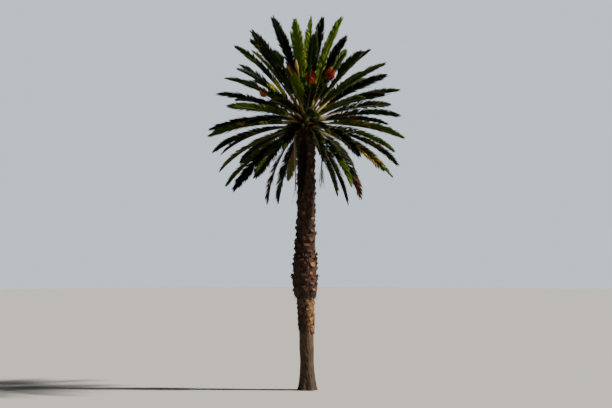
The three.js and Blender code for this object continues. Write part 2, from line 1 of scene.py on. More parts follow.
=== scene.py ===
"""Date palm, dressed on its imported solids.

Metres, +Z up, first seen from -Y. The crown grows by the rule that made the solids, carried on to fine
leaflets.
"""

import logging
import math
from collections.abc import Callable, Sequence
from dataclasses import dataclass, field
from enum import Enum

import bmesh
import bpy
import numpy as np
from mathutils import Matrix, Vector


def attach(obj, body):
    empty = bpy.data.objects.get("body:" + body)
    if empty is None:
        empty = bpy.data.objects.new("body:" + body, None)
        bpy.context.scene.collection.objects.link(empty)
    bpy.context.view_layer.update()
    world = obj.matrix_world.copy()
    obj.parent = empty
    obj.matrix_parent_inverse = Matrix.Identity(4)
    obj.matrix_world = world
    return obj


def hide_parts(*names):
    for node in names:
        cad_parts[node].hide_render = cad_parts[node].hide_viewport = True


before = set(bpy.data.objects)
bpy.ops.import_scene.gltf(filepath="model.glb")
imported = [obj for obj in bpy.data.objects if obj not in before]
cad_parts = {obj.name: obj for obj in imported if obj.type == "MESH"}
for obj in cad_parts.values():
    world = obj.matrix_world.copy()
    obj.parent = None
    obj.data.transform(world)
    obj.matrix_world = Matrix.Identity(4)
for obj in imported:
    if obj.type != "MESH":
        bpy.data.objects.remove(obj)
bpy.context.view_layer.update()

log = logging.getLogger("date_palm")

Rows = Sequence[tuple[float, float]]
Triple = tuple[float, float, float]
Socket = bpy.types.NodeSocket
Colour = Triple

# Stem, in metres: heights of its sections and outlines as rows of height and radius
BARE_TOP = 2.15
STUB_TOP = 3.30
BOOT_TOP = 8.96
CORE_TOP = 10.25
BARE_OUTLINE = ((0, 0.355), (0.18, 0.306), (0.48, 0.267), (1.0, 0.25), (1.65, 0.254), (2.25, 0.272))
STUB_OUTLINE = ((2.05, 0.276), (2.45, 0.298), (3.0, 0.292), (3.4, 0.31))
BOOT_OUTLINE = (
    (3.26, 0.33), (3.5, 0.382), (4.0, 0.398), (4.4, 0.38), (4.9, 0.335),
    (5.6, 0.305), (6.6, 0.29), (7.8, 0.278), (8.4, 0.29), (8.96, 0.335), (9.1, 0.37),
)
CORE_OUTLINE = ((8.86, 0.325), (9.08, 0.378), (9.9, 0.38), (10.03, 0.34), (10.162, 0.243), (10.25, 0.1))
SWAY = ((0, 0), (2.6, -0.04), (4.0, -0.095), (6.2, -0.045), (9.0, -0.05))
CROWN_SHIFT = -0.05
CROWN_MIDDLE = 9.7
CROWN_AXIS = np.array([CROWN_SHIFT, 0.0, 0.0])
UP = np.array([0.0, 0.0, 1.0])

# Phases of ripples and waves run to this
WAVE = 6.283


def along(rows: Rows, x: np.ndarray | float) -> np.ndarray:
    """Reads a value between rows of place and value.

    Args:
        rows: Places in rising order, each with its value.
        x: Where to read.

    Returns:
        The values at x, straight between the rows.
    """
    table = np.asarray(rows, float)
    return np.interp(x, table[:, 0], table[:, 1])


def paint(red: int, green: int, blue: int) -> Colour:
    """Turns a screen colour of 0 to 255 into a base colour.

    Args:
        red: Red on the screen.
        green: Green on the screen.
        blue: Blue on the screen.

    Returns:
        The same colour as three linear shares.
    """
    shares = [c / 255 for c in (red, green, blue)]
    return tuple(c / 12.92 if c < 0.04045 else ((c + 0.055) / 1.055) ** 2.4 for c in shares)


def clip(value: np.ndarray | float, low: float = 0, high: float = 1) -> np.ndarray:
    """Keeps values between two limits."""
    return np.clip(value, low, high)


def unit(way: np.ndarray) -> np.ndarray:
    """Gives directions a length of 1."""
    return way / np.linalg.norm(way, axis=-1, keepdims=True)


def bow(start: np.ndarray, bend: np.ndarray, end: np.ndarray, t: np.ndarray | float) -> np.ndarray:
    """Gives places t, from 0 to 1, on the curve from a start to an end that a bend pulls at."""
    return (1 - t) ** 2 * start + 2 * t * (1 - t) * bend + t**2 * end


class Dice:
    """Repeatable dice, the same as the solids' own."""

    def __init__(self, seed: int) -> None:
        """Starts the dice at a seed."""
        self.state = seed % 2**32

    def next(self) -> float:
        """Throws a number from 0 to 1."""
        self.state = (self.state * 1664525 + 1013904223) % 2**32
        return self.state / 2**32

    def spread(self, size: float) -> float:
        """Throws a number from -size to size."""
        return (self.next() * 2 - 1) * size


# Mesh helpers


def read_points(mesh: bpy.types.Mesh) -> np.ndarray:
    """Reads the points of a mesh.

    Args:
        mesh: The mesh.

    Returns:
        Its points, three numbers each.
    """
    points = np.zeros(len(mesh.vertices) * 3)
    mesh.vertices.foreach_get("co", points)
    return points.reshape(-1, 3)


def write_values(mesh: bpy.types.Mesh, values: dict[str, np.ndarray]) -> None:
    """Writes numbers that the finishes read.

    Args:
        mesh: The mesh.
        values: A number for each point, by attribute name.
    """
    for name, value in values.items():
        attribute = mesh.attributes.new(name, "FLOAT", "POINT")
        attribute.data.foreach_set("value", value.astype(np.float32))


def walls(rings: int, sides: int) -> np.ndarray:
    """Gives the faces between rings of points.

    Args:
        rings: Count of rings.
        sides: Count of points in a ring.

    Returns:
        Rows of four point numbers.
    """
    k = np.arange(sides)
    after = (k + 1) % sides
    faces = np.stack([k, after, after + sides, k + sides], 1)
    return (faces + (np.arange(rings - 1) * sides)[:, None, None]).reshape(-1, 4)


class Skin:
    """Gathers the points and faces of many small things into one mesh."""

    def __init__(self) -> None:
        """Starts with nothing gathered."""
        self.points: list[np.ndarray] = []
        self.faces: list[np.ndarray] = []
        self.values: dict[str, list[np.ndarray]] = {}
        self.count = 0

    def add(self, points: np.ndarray, faces: np.ndarray, **values: np.ndarray) -> None:
        """Adds one or more things.

        Args:
            points: Places, three numbers each.
            faces: Rows of four point numbers, the last -1 on a triangle.
            values: A number for each point, by attribute name.
        """
        faces = np.array(faces, int)
        self.faces.append(np.where(faces < 0, -1, faces + self.count))
        self.points.append(points)
        for name, value in values.items():
            self.values.setdefault(name, []).append(np.broadcast_to(value, (len(points),)))
        self.count += len(points)

    def repeat(self, points: np.ndarray, faces: np.ndarray, **values: np.ndarray) -> None:
        """Adds many things that share their faces.

        Args:
            points: Places by thing and point, three numbers each.
            faces: Rows of four point numbers of one thing, the last -1 on a triangle.
            values: Numbers that spread over things and points, by attribute name.
        """
        count, size = points.shape[:2]
        shifted = faces + (np.arange(count) * size)[:, None, None]
        shifted = np.where(faces < 0, -1, shifted).reshape(-1, 4)
        values = {name: np.broadcast_to(value, (count, size)).ravel() for name, value in values.items()}
        self.add(points.reshape(-1, 3), shifted, **values)

    def build(self, name: str, smooth: float | None = None) -> bpy.types.Object:
        """Makes the mesh object.

        Args:
            name: The piece's name.
            smooth: Angle in degrees under which edges are shaded smooth, or None for flat faces.

        Returns:
            The new object, at the origin.
        """
        points = np.concatenate(self.points).astype(np.float32)
        faces = np.concatenate(self.faces)
        sizes = np.where(faces[:, 3] < 0, 3, 4)
        loops = faces[faces >= 0].astype(np.int32)
        starts = np.concatenate([[0], np.cumsum(sizes)[:-1]]).astype(np.int32)
        mesh = bpy.data.meshes.new(name)
        mesh.vertices.add(len(points))
        mesh.vertices.foreach_set("co", points.ravel())
        mesh.loops.add(len(loops))
        mesh.loops.foreach_set("vertex_index", loops)
        mesh.polygons.add(len(faces))
        mesh.polygons.foreach_set("loop_start", starts)
        mesh.update(calc_edges=True)
        write_values(mesh, {label: np.concatenate(parts) for label, parts in self.values.items()})
        thing = bpy.data.objects.new(name, mesh)
        bpy.context.scene.collection.objects.link(thing)
        if smooth is not None:
            Bench.smooth(thing, smooth)
        return thing


@dataclass
class Pattern:
    """A small thing modelled once, to be copied many times.

    Attributes:
        points: Its points in its own frame.
        faces: Rows of four point numbers, the last -1 on a triangle.
        values: A number for each point, by attribute name.
    """

    points: np.ndarray
    faces: np.ndarray
    values: dict[str, np.ndarray] = field(default_factory=dict)

    @classmethod
    def of(cls, thing: bpy.types.Object) -> "Pattern":
        """Takes the mesh of an object and removes the object.

        Args:
            thing: A mesh object with faces of three or four sides.

        Returns:
            The pattern.
        """
        mesh = thing.data
        points = read_points(mesh)
        faces = [list(p.vertices) + [-1] * (4 - len(p.vertices)) for p in mesh.polygons]
        bpy.data.objects.remove(thing)
        bpy.data.meshes.remove(mesh)
        return cls(points, np.array(faces))


class Pick(Enum):
    """What is selected in edit mode."""

    FACES = "FACE"
    EDGES = "EDGE"


class Bench:
    """Modelling steps on one mesh, as done by hand in edit mode."""

    def __init__(self, thing: bpy.types.Object) -> None:
        """Takes the object that is worked on."""
        self.thing = thing

    @staticmethod
    def only(thing: bpy.types.Object) -> None:
        """Selects one object and nothing else.

        Args:
            thing: The object.
        """
        if bpy.context.mode != "OBJECT":
            bpy.ops.object.mode_set(mode="OBJECT")
        bpy.ops.object.select_all(action="DESELECT")
        thing.select_set(True)
        bpy.context.view_layer.objects.active = thing

    @classmethod
    def smooth(cls, thing: bpy.types.Object, angle: float) -> None:
        """Shades a thing smooth where its faces meet under an angle in degrees."""
        cls.only(thing)
        bpy.ops.object.shade_smooth_by_angle(angle=math.radians(angle))

    @classmethod
    def cube(cls, name: str, size: Triple, place: Triple) -> "Bench":
        """Starts from a box.

        Args:
            name: The object's name.
            size: Its three sides.
            place: Its middle.

        Returns:
            The bench with the box on it, in edit mode.
        """
        bpy.ops.object.select_all(action="DESELECT")
        bpy.ops.mesh.primitive_cube_add(size=1, location=place)
        bench = cls.taken(name)
        bench.edit(lambda face: True)
        bpy.ops.transform.resize(value=size, center_override=place)
        return bench

    @classmethod
    def column(
        cls, name: str, sides: int, low: float, high: float, step: float
    ) -> tuple[bpy.types.Object, np.ndarray, np.ndarray]:
        """Models an upright column of radius 1 that is cut into rings.

        Args:
            name: The object's name.
            sides: Count of its sides.
            low: Height of its lower end.
            high: Height of its upper end.
            step: Height between its rings, about.

        Returns:
            The column, and the angle and height of each of its points.
        """
        bpy.ops.object.select_all(action="DESELECT")
        bpy.ops.mesh.primitive_cylinder_add(
            vertices=sides, radius=1, depth=high - low, end_fill_type="NGON",
            location=(0, 0, (low + high) / 2),
        )
        bench = cls.taken(name)
        bench.edit(lambda edge: abs(edge.verts[0].co.z - edge.verts[1].co.z) > (high - low) / 2, Pick.EDGES)
        bpy.ops.mesh.subdivide(number_cuts=int((high - low) / step) - 1)
        bpy.ops.object.mode_set(mode="OBJECT")
        x, y, height = read_points(bench.thing.data).T
        return bench.thing, np.arctan2(y, x), height

    @classmethod
    def taken(cls, name: str) -> "Bench":
        """Takes up the primitive that was just added.

        Args:
            name: Its name.

        Returns:
            The bench with it, its place in its mesh.
        """
        bench = cls(bpy.context.active_object)
        bench.thing.name = name
        bpy.ops.object.transform_apply(location=True, rotation=True, scale=True)
        return bench

    def edit(
        self, wanted: Callable[[bmesh.types.BMFace | bmesh.types.BMEdge], bool], pick: Pick = Pick.FACES
    ) -> None:
        """Goes to edit mode and selects what is wanted.

        Args:
            wanted: Says of a face or an edge whether it is selected.
            pick: Whether faces or edges are asked about.
        """
        bpy.context.view_layer.objects.active = self.thing
        if bpy.context.mode != "EDIT_MESH":
            bpy.ops.object.mode_set(mode="EDIT")
        bpy.ops.mesh.select_mode(type=pick.value)
        bpy.ops.mesh.select_all(action="DESELECT")
        mesh = bmesh.from_edit_mesh(self.thing.data)
        for item in mesh.faces if pick is Pick.FACES else mesh.edges:
            item.select_set(wanted(item))
        bmesh.update_edit_mesh(self.thing.data)

    def grow(self, shift: Triple, size: Triple, middle: Triple) -> None:
        """Extrudes the selected faces and scales the new end.

        Args:
            shift: How far the new end is moved.
            size: Its scale along each axis.
            middle: The point it is scaled about.
        """
        bpy.ops.mesh.extrude_region_move(TRANSFORM_OT_translate={"value": shift})
        bpy.ops.transform.resize(value=size, center_override=middle)

    def done(self) -> bpy.types.Object:
        """Leaves edit mode with all faces turned outwards.

        Returns:
            The finished object.
        """
        bpy.ops.mesh.select_all(action="SELECT")
        bpy.ops.mesh.normals_make_consistent(inside=False)
        bpy.ops.object.mode_set(mode="OBJECT")
        return self.thing


Relief = Callable[[np.ndarray, np.ndarray], np.ndarray]


def ripple(seed: int, waves: int, around: int, tall: float) -> Relief:
    """Makes a soft random relief on a column.

    Args:
        seed: Seed of the relief.
        waves: Count of waves that are added up.
        around: Highest count of waves round the column.
        tall: Highest count of waves for each metre of height.

    Returns:
        A function of the angle and height, from about -1 to 1.
    """
    dice = Dice(seed)
    terms = [
        (round(dice.spread(around)), dice.spread(tall) * WAVE, dice.next() * WAVE, 0.5 + dice.next())
        for _ in range(waves)
    ]
    total = math.sqrt(sum(t[3] ** 2 for t in terms))

    def relief(angle: np.ndarray, height: np.ndarray) -> np.ndarray:
        """Reads the relief at an angle and height."""
        return sum(a * np.sin(k * angle + m * height + p) for k, m, p, a in terms) / total

    return relief


def tube(path: np.ndarray, radii: np.ndarray, sides: int) -> tuple[np.ndarray, np.ndarray]:
    """Makes a closed tube along a path.

    Args:
        path: Its points, one a station.
        radii: Radius at each station.
        sides: Count of sides.

    Returns:
        Points and faces.
    """
    run = unit(np.gradient(path, axis=0))
    spare = np.array([1.0, 0, 0]) if abs(run[0][2]) > 0.9 else UP
    side = unit(np.cross(spare, run))
    top = np.cross(run, side)
    turn = np.arange(sides) / sides * 2 * math.pi
    points = (
        path[:, None]
        + side[:, None] * (np.cos(turn) * radii[:, None])[..., None]
        + top[:, None] * (np.sin(turn) * radii[:, None])[..., None]
    ).reshape(-1, 3)
    faces = walls(len(path), sides).tolist()
    end = (len(path) - 1) * sides
    for k in range(1, sides - 1):
        faces.append((0, k + 1, k, -1))
        faces.append((end, end + k, end + k + 1, -1))
    return points, np.array(faces)


# Finishes


class Nodes:
    """A material's node tree with short ways to add to it."""

    def __init__(self, tree: bpy.types.NodeTree) -> None:
        """Takes the tree."""
        self.tree = tree

    @classmethod
    def material(cls, name: str) -> tuple[bpy.types.Material, "Nodes", bpy.types.Node]:
        """Starts a material.

        Args:
            name: Its name.

        Returns:
            The material, its nodes and its shader.
        """
        made = bpy.data.materials.new(name)
        made.use_nodes = True
        return made, cls(made.node_tree), made.node_tree.nodes["Principled BSDF"]

    def put(self, kind: str, **inputs: object) -> bpy.types.Node:
        """Adds a node.

        Args:
            kind: The node's type.
            inputs: Values or output sockets for its inputs, by name with _ for a blank.

        Returns:
            The node.
        """
        node = self.tree.nodes.new(kind)
        for name, value in inputs.items():
            self.feed(node, name.replace("_", " "), value)
        return node

    def feed(self, node: bpy.types.Node, name: str, value: object) -> None:
        """Sets or links one input.

        Args:
            node: The node.
            name: The input's name.
            value: A number, a colour or an output socket.
        """
        socket = node.inputs[name]
        if isinstance(value, Socket):
            self.tree.links.new(value, socket)
        elif isinstance(value, tuple) and socket.type == "RGBA":
            socket.default_value = (*value, 1)
        else:
            socket.default_value = value

    def place(self) -> Socket:
        """Gives the object coordinates."""
        return self.put("ShaderNodeTexCoord").outputs["Object"]

    def stretch(self, tall: float) -> Socket:
        """Gives the object coordinates with their height scaled."""
        return self.put("ShaderNodeMapping", Vector=self.place(), Scale=(1, 1, tall)).outputs["Vector"]

    def noise(self, where: Socket, scale: float | Socket, detail: float) -> Socket:
        """Gives soft noise from 0 to 1."""
        return self.put("ShaderNodeTexNoise", Vector=where, Scale=scale, Detail=detail).outputs["Fac"]

    def value(self, name: str) -> Socket:
        """Gives a number that the mesh carries for each point.

        Args:
            name: The attribute's name.

        Returns:
            The number's socket.
        """
        node = self.put("ShaderNodeAttribute")
        node.attribute_name = name
        return node.outputs["Fac"]

    def band(self, value: Socket, low: float, high: float) -> Socket:
        """Gives 0 at low, 1 at high and a straight rise between."""
        return self.put("ShaderNodeMapRange", Value=value, From_Min=low, From_Max=high).outputs["Result"]

    def span(self, value: Socket, low: float, high: float) -> Socket:
        """Spreads a value of 0 to 1 from low to high."""
        return self.put("ShaderNodeMapRange", Value=value, To_Min=low, To_Max=high).outputs["Result"]

    def mix(self, share: Socket, first: Colour | Socket, second: Colour | Socket) -> Socket:
        """Mixes two colours.

        Args:
            share: Share of the second.
            first: The first colour.
            second: The second colour.

        Returns:
            The mixed colour.
        """
        node = self.tree.nodes.new("ShaderNodeMix")
        node.data_type = "RGBA"
        for index, item in ((0, share), (6, first), (7, second)):
            if isinstance(item, Socket):
                self.tree.links.new(item, node.inputs[index])
            else:
                node.inputs[index].default_value = (*item, 1)
        return node.outputs[2]

    def math(self, how: str, first: float | Socket, second: float | Socket) -> Socket:
        """Works out one number from two.

        Args:
            how: The operation's name.
            first: The first number.
            second: The second number.

        Returns:
            The result.
        """
        node = self.put("ShaderNodeMath")
        node.operation = how
        for socket, item in zip(node.inputs, (first, second)):
            if isinstance(item, Socket):
                self.tree.links.new(item, socket)
            else:
                socket.default_value = item
        return node.outputs[0]

    def times(self, first: float | Socket, second: float | Socket) -> Socket:
        """Multiplies two numbers."""
        return self.math("MULTIPLY", first, second)

    def plus(self, first: float | Socket, second: float | Socket) -> Socket:
        """Adds two numbers."""
        return self.math("ADD", first, second)

    def minus(self, first: float | Socket, second: float | Socket) -> Socket:
        """Takes the second number from the first."""
        return self.math("SUBTRACT", first, second)

    def bump(self, shader: bpy.types.Node, height: Socket, strength: float, depth: float) -> None:
        """Gives a shader the relief of a height."""
        node = self.put("ShaderNodeBump", Height=height, Strength=strength, Distance=depth)
        self.feed(shader, "Normal", node.outputs["Normal"])


class Groups:
    """Node groups that more than one finish uses, each made once."""

    made: dict[str, bpy.types.NodeTree] = {}

    @classmethod
    def weather(cls) -> bpy.types.NodeTree:
        """Gives the group of weathering: blotches, streaks that run up the plant, and their relief.

        Returns:
            The group's tree.
        """
        if "weather" in cls.made:
            return cls.made["weather"]
        tree = bpy.data.node_groups.new("weather", "ShaderNodeTree")
        face = tree.interface
        face.new_socket("Vector", in_out="INPUT", socket_type="NodeSocketVector")
        for name, value in (("Blotch Scale", 6.0), ("Streak Scale", 26.0), ("Streak Share", 0.5)):
            face.new_socket(name, in_out="INPUT", socket_type="NodeSocketFloat").default_value = value
        for name in ("Blotch", "Streak", "Height"):
            face.new_socket(name, in_out="OUTPUT", socket_type="NodeSocketFloat")
        nodes = Nodes(tree)
        start = tree.nodes.new("NodeGroupInput")
        end = tree.nodes.new("NodeGroupOutput")
        where = start.outputs["Vector"]
        blotch = nodes.noise(where, start.outputs["Blotch Scale"], 5.0)
        tall = nodes.put("ShaderNodeMapping", Vector=where, Scale=(1, 1, 0.16)).outputs["Vector"]
        streak = nodes.noise(tall, start.outputs["Streak Scale"], 6.0)
        height = nodes.plus(nodes.times(streak, start.outputs["Streak Share"]), nodes.times(blotch, 0.5))
        tree.links.new(nodes.band(blotch, 0.32, 0.68), end.inputs["Blotch"])
        tree.links.new(nodes.band(streak, 0.34, 0.66), end.inputs["Streak"])
        tree.links.new(height, end.inputs["Height"])
        cls.made["weather"] = tree
        return tree


@dataclass(frozen=True)
class Bark:
    """Finish of stem, stubs, leaf bases and fibre.

    Attributes:
        name: The material's name.
        dark: Colour of the darkest bark, and of the painted shade that the mesh carries.
        middle: The main colour.
        pale: Colour of weathered streaks.
        cut: Colour of cut ends, where the mesh carries a cut value.
        roughness: Roughness of the surface.
        depth: Strength of the bump.
        blotch: Blotches for each metre.
        streak: Streaks for each metre.
        fissure: Share of the dark in the fissures that run up the bark.
        paling: Share of the pale colour in the streaks.
        patch: Share of the main colour in the blotches.
        crack: Fissures for each metre round the stem.
        pores: Pores of a cut end for each metre.
        grain: Fibres for each metre round the stem.
    """

    name: str
    dark: Colour
    middle: Colour
    pale: Colour
    cut: Colour
    roughness: float = 0.92
    depth: float = 0.6
    blotch: float = 5.0
    streak: float = 30.0
    fissure: float = 0.0
    paling: float = 0.55
    patch: float = 0.5
    crack: float = 52.0
    pores: float = 130.0
    grain: float = 90.0

    def material(self) -> bpy.types.Material:
        """Makes the material.

        Returns:
            The material.
        """
        made, nodes, shader = Nodes.material(self.name)
        weather = nodes.put("ShaderNodeGroup")
        weather.node_tree = Groups.weather()
        nodes.feed(weather, "Vector", nodes.place())
        nodes.feed(weather, "Blotch Scale", self.blotch)
        nodes.feed(weather, "Streak Scale", self.streak)
        streak = weather.outputs["Streak"]
        # Tone is the bark's own lighter and darker parts; on the stem and leaf bases it also carries
        # painted shade
        base = nodes.mix(nodes.band(nodes.value("tone"), 0.0, 1.0), self.dark, self.middle)
        base = nodes.mix(nodes.times(streak, self.paling), base, self.pale)
        base = nodes.mix(nodes.times(weather.outputs["Blotch"], self.patch), base, self.middle)
        # Painted shade: the mesh's painted-shade value mixes in the dark colour
        base = nodes.mix(nodes.value("hollow"), base, self.dark)
        cracks = nodes.band(nodes.noise(nodes.stretch(0.09), self.crack, 4.0), 0.44, 0.36)
        cracks = nodes.times(cracks, self.fissure)
        base = nodes.mix(cracks, base, self.dark)
        pores = nodes.band(nodes.noise(nodes.place(), self.pores, 3.0), 0.36, 0.6)
        opened = nodes.plus(nodes.times(pores, 0.42), 0.36)
        base = nodes.mix(nodes.times(nodes.value("cut"), opened), base, self.cut)
        nodes.feed(shader, "Base Color", base)
        rough = nodes.span(streak, self.roughness - 0.1, min(self.roughness + 0.06, 1.0))
        nodes.feed(shader, "Roughness", rough)
        fine = nodes.noise(nodes.stretch(0.3), self.grain, 6.0)
        height = nodes.plus(weather.outputs["Height"], nodes.times(fine, 0.35))
        height = nodes.minus(height, nodes.times(cracks, 0.4))
        nodes.bump(shader, height, self.depth, 0.02)
        return made


# Colour of scorched leaflet ends and of the lines in stalks and sheaths
SCORCH = paint(96, 76, 36)


@dataclass(frozen=True)
class Leaf:
    """Finish of leaflets, thorns and fruit: two shades, and scorched ends where the mesh carries its reach.

    Attributes:
        name: The material's name.
        colour: The main colour.
        other: Colour it drifts to over the crown.
        roughness: Roughness of the waxy face.
        drift: Drifts for each metre.
        gloss: Strength of the shine.
        grain: Strength of fibres that run upwards.
        fibres: Fibres for each metre.
    """

    name: str
    colour: Colour
    other: Colour
    roughness: float = 0.5
    drift: float = 2.2
    gloss: float = 0.16
    grain: float = 0.0
    fibres: float = 110.0

    def material(self) -> bpy.types.Material:
        """Makes the material.

        Returns:
            The material.
        """
        made, nodes, shader = Nodes.material(self.name)
        where = nodes.place()
        drift = nodes.band(nodes.noise(where, self.drift, 3.0), 0.35, 0.65)
        fine = nodes.noise(where, 40.0, 3.0)
        share = nodes.times(nodes.plus(drift, fine), 0.32)
        share = nodes.plus(share, nodes.times(nodes.value("shade"), 0.36))
        base = nodes.mix(share, self.colour, self.other)
        scorch = nodes.times(nodes.band(nodes.value("reach"), 0.82, 1.0), nodes.band(fine, 0.35, 0.6))
        base = nodes.mix(scorch, base, SCORCH)
        height = nodes.noise(where, 160.0, 2.0)
        if self.grain:
            lines = nodes.band(nodes.noise(nodes.stretch(0.06), self.fibres, 5.0), 0.52, 0.38)
            lines = nodes.times(lines, self.grain)
            base = nodes.mix(lines, base, SCORCH)
            height = nodes.minus(height, lines)
        nodes.feed(shader, "Base Color", base)
        nodes.feed(shader, "Specular IOR Level", self.gloss)
        nodes.feed(shader, "Roughness", nodes.span(fine, self.roughness - 0.08, self.roughness + 0.12))
        nodes.bump(shader, height, 0.25 + 0.5 * self.grain, 0.002)
        return made


@dataclass(frozen=True)
class Rib:
    """Finish of the frond ribs, from their pale foot to their green run.

    Attributes:
        name: The material's name.
        base: Colour of the sheath that clasps the core.
        dull: Colour at the foot of a weathered frond, and more often of one on the left, where it is
            painted shade.
        foot: Colour at the foot of a pale one, and more often of one on the sunlit right, where it is
            painted light.
        run: Colour further out.
        tip: Colour at the tip.
        roughness: Roughness of the run.
        gloss: Strength of the shine.
        fibres: Fibres for each metre across the foot.
    """

    name: str
    base: Colour
    dull: Colour
    foot: Colour
    run: Colour
    tip: Colour
    roughness: float = 0.5
    gloss: float = 0.16
    fibres: float = 120.0

    def material(self) -> bpy.types.Material:
        """Makes the material.

        Returns:
            The material.
        """
        made, nodes, shader = Nodes.material(self.name)
        where = nodes.place()
        run = nodes.value("run")
        spots = nodes.noise(where, 12.0, 5.0)
        scurf = nodes.noise(nodes.stretch(0.4), 46.0, 6.0)
        shifted = nodes.plus(run, nodes.times(nodes.minus(spots, 0.5), 0.1))
        # The pale value carries painted light: paler feet on the sunlit right, duller ones on the left
        foot = nodes.mix(nodes.value("pale"), self.dull, self.foot)
        base = nodes.mix(nodes.band(shifted, -0.03, 0.07), self.base, foot)
        base = nodes.mix(nodes.band(shifted, 0.13, 0.33), base, self.run)
        base = nodes.mix(nodes.band(shifted, 0.45, 1.0), base, self.tip)
        low = nodes.band(run, 0.16, 0.0)
        flecks = nodes.times(nodes.band(scurf, 0.42, 0.78), low)
        base = nodes.mix(nodes.times(flecks, 0.8), base, self.base)
        grain = nodes.put("ShaderNodeCombineXYZ", X=nodes.value("across"), Y=nodes.times(run, 0.3))
        lines = nodes.band(nodes.noise(grain.outputs["Vector"], self.fibres, 5.0), 0.5, 0.36)
        lines = nodes.times(lines, nodes.band(run, 0.3, 0.04))
        base = nodes.mix(nodes.times(lines, 0.75), base, self.base)
        nodes.feed(shader, "Base Color", base)
        nodes.feed(shader, "Specular IOR Level", self.gloss)
        matt = nodes.span(spots, self.roughness - 0.1, self.roughness + 0.2)
        matt = nodes.plus(matt, nodes.times(low, 0.35))
        nodes.feed(shader, "Roughness", nodes.math("MINIMUM", matt, 1.0))
        height = nodes.minus(nodes.noise(where, 70.0, 4.0), nodes.times(lines, 0.8))
        nodes.bump(shader, height, 0.5, 0.005)
        return made


BARE_BARK = Bark(
    "bare_bark", paint(14, 8, 6), paint(82, 55, 33), paint(134, 106, 66), paint(112, 92, 64),
    depth=0.8, blotch=3.0, fissure=0.75,
)
STUB_BARK = Bark(
    "stub_bark", paint(8, 4, 3), paint(116, 78, 42), paint(162, 118, 70), paint(168, 122, 70),
    blotch=3.0, streak=34.0, fissure=0.45,
)
BOOT_BARK = Bark(
    "boot_bark", paint(5, 2, 1), paint(48, 20, 7), paint(100, 52, 19), paint(166, 114, 58),
    depth=0.9, streak=44.0, fissure=0.5,
)
FIBRE = Bark(
    "fibre", paint(5, 3, 2), paint(26, 13, 7), paint(56, 34, 20), paint(70, 46, 28),
    depth=1.0, streak=70.0, fissure=0.6,
)
RIB_GREEN = Rib(
    "rib_green",
    paint(28, 18, 9), paint(80, 62, 28), paint(255, 226, 150), paint(62, 72, 8), paint(36, 46, 8),
)
RIB_DRY = Rib(
    "rib_dry", paint(24, 15, 9), paint(52, 34, 19), paint(66, 44, 25), paint(52, 35, 20), paint(46, 31, 18),
    roughness=0.75,
)


class Tint(Enum):
    """Tints of leaflets, dealt out by frond. The lime and gold tints are painted highlights, bright where
    sun catches leaflets.
    """

    DEEP = Leaf("leaf_deep", paint(8, 18, 1), paint(32, 58, 1), gloss=0.11)
    DARK = Leaf("leaf_dark", paint(4, 8, 2), paint(17, 31, 2), gloss=0.1)
    MID = Leaf("leaf_mid", paint(26, 42, 1), paint(68, 94, 1), gloss=0.12)
    FRESH = Leaf("leaf_fresh", paint(46, 69, 1), paint(100, 124, 2), gloss=0.12)
    LIME_HIGHLIGHT = Leaf("leaf_lime_highlight", paint(236, 240, 6), paint(255, 255, 48))
    OLIVE = Leaf("leaf_olive", paint(42, 42, 4), paint(92, 88, 12))
    GOLD_HIGHLIGHT = Leaf("leaf_gold_highlight", paint(110, 88, 5), paint(184, 150, 8))
    DRY = Leaf("leaf_dry", paint(38, 19, 8), paint(94, 55, 26), roughness=0.8)
    HUSK = Leaf("leaf_husk", paint(12, 7, 4), paint(34, 20, 10), roughness=0.85)


DEAD = (Tint.DRY, Tint.HUSK)
Patch = tuple[int, float, float, float, Tint]


class Kind(Enum):
    """Looks of a fruit bunch."""

    RED = Leaf("fruit_red", paint(128, 12, 0), paint(218, 46, 0), 0.38, drift=9.0, gloss=0.26)
    RUST = Leaf("fruit_rust", paint(92, 14, 0), paint(206, 70, 2), 0.38, drift=12.0, gloss=0.26)
    DARK_RED = Leaf("fruit_dark_red", paint(66, 14, 8), paint(126, 36, 14), 0.38, drift=9.0, gloss=0.3)
    ORANGE = Leaf("fruit_orange", paint(168, 70, 30), paint(222, 130, 82), 0.4, drift=9.0, gloss=0.3)


STALK = Leaf("fruit_stalk", paint(150, 74, 8), paint(214, 124, 18), drift=6.0, grain=0.4)
SHEATH = Leaf("fruit_sheath", paint(150, 116, 48), paint(255, 236, 150), 0.6, drift=9.0, grain=0.6)
OLD_STALK = Bark(
    "old_stalk", paint(78, 44, 25), paint(150, 100, 60), paint(206, 156, 106), paint(150, 100, 60),
    depth=0.8, blotch=9.0, streak=70.0,
)
STRAND = Bark(
    "strand", paint(22, 13, 8), paint(84, 56, 34), paint(110, 78, 50), paint(84, 56, 34), streak=80.0
)
THORN = Leaf("thorn", paint(84, 88, 24), paint(130, 128, 56), drift=6.0)


def finish(thing: bpy.types.Object, material: bpy.types.Material, nodes: Sequence[str]) -> None:
    """Gives a piece its material, body and the solids it stands for.

    Args:
        thing: The piece.
        material: Its material.
        nodes: Names of the solids it stands for.
    """
    thing.data.materials.clear()
    thing.data.materials.append(material)
    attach(thing, "root")
    if nodes:
        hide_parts(*nodes)
    thing.data.calc_loop_triangles()
    log.info("%s: %d triangles", thing.name, len(thing.data.loop_triangles))


# Stem


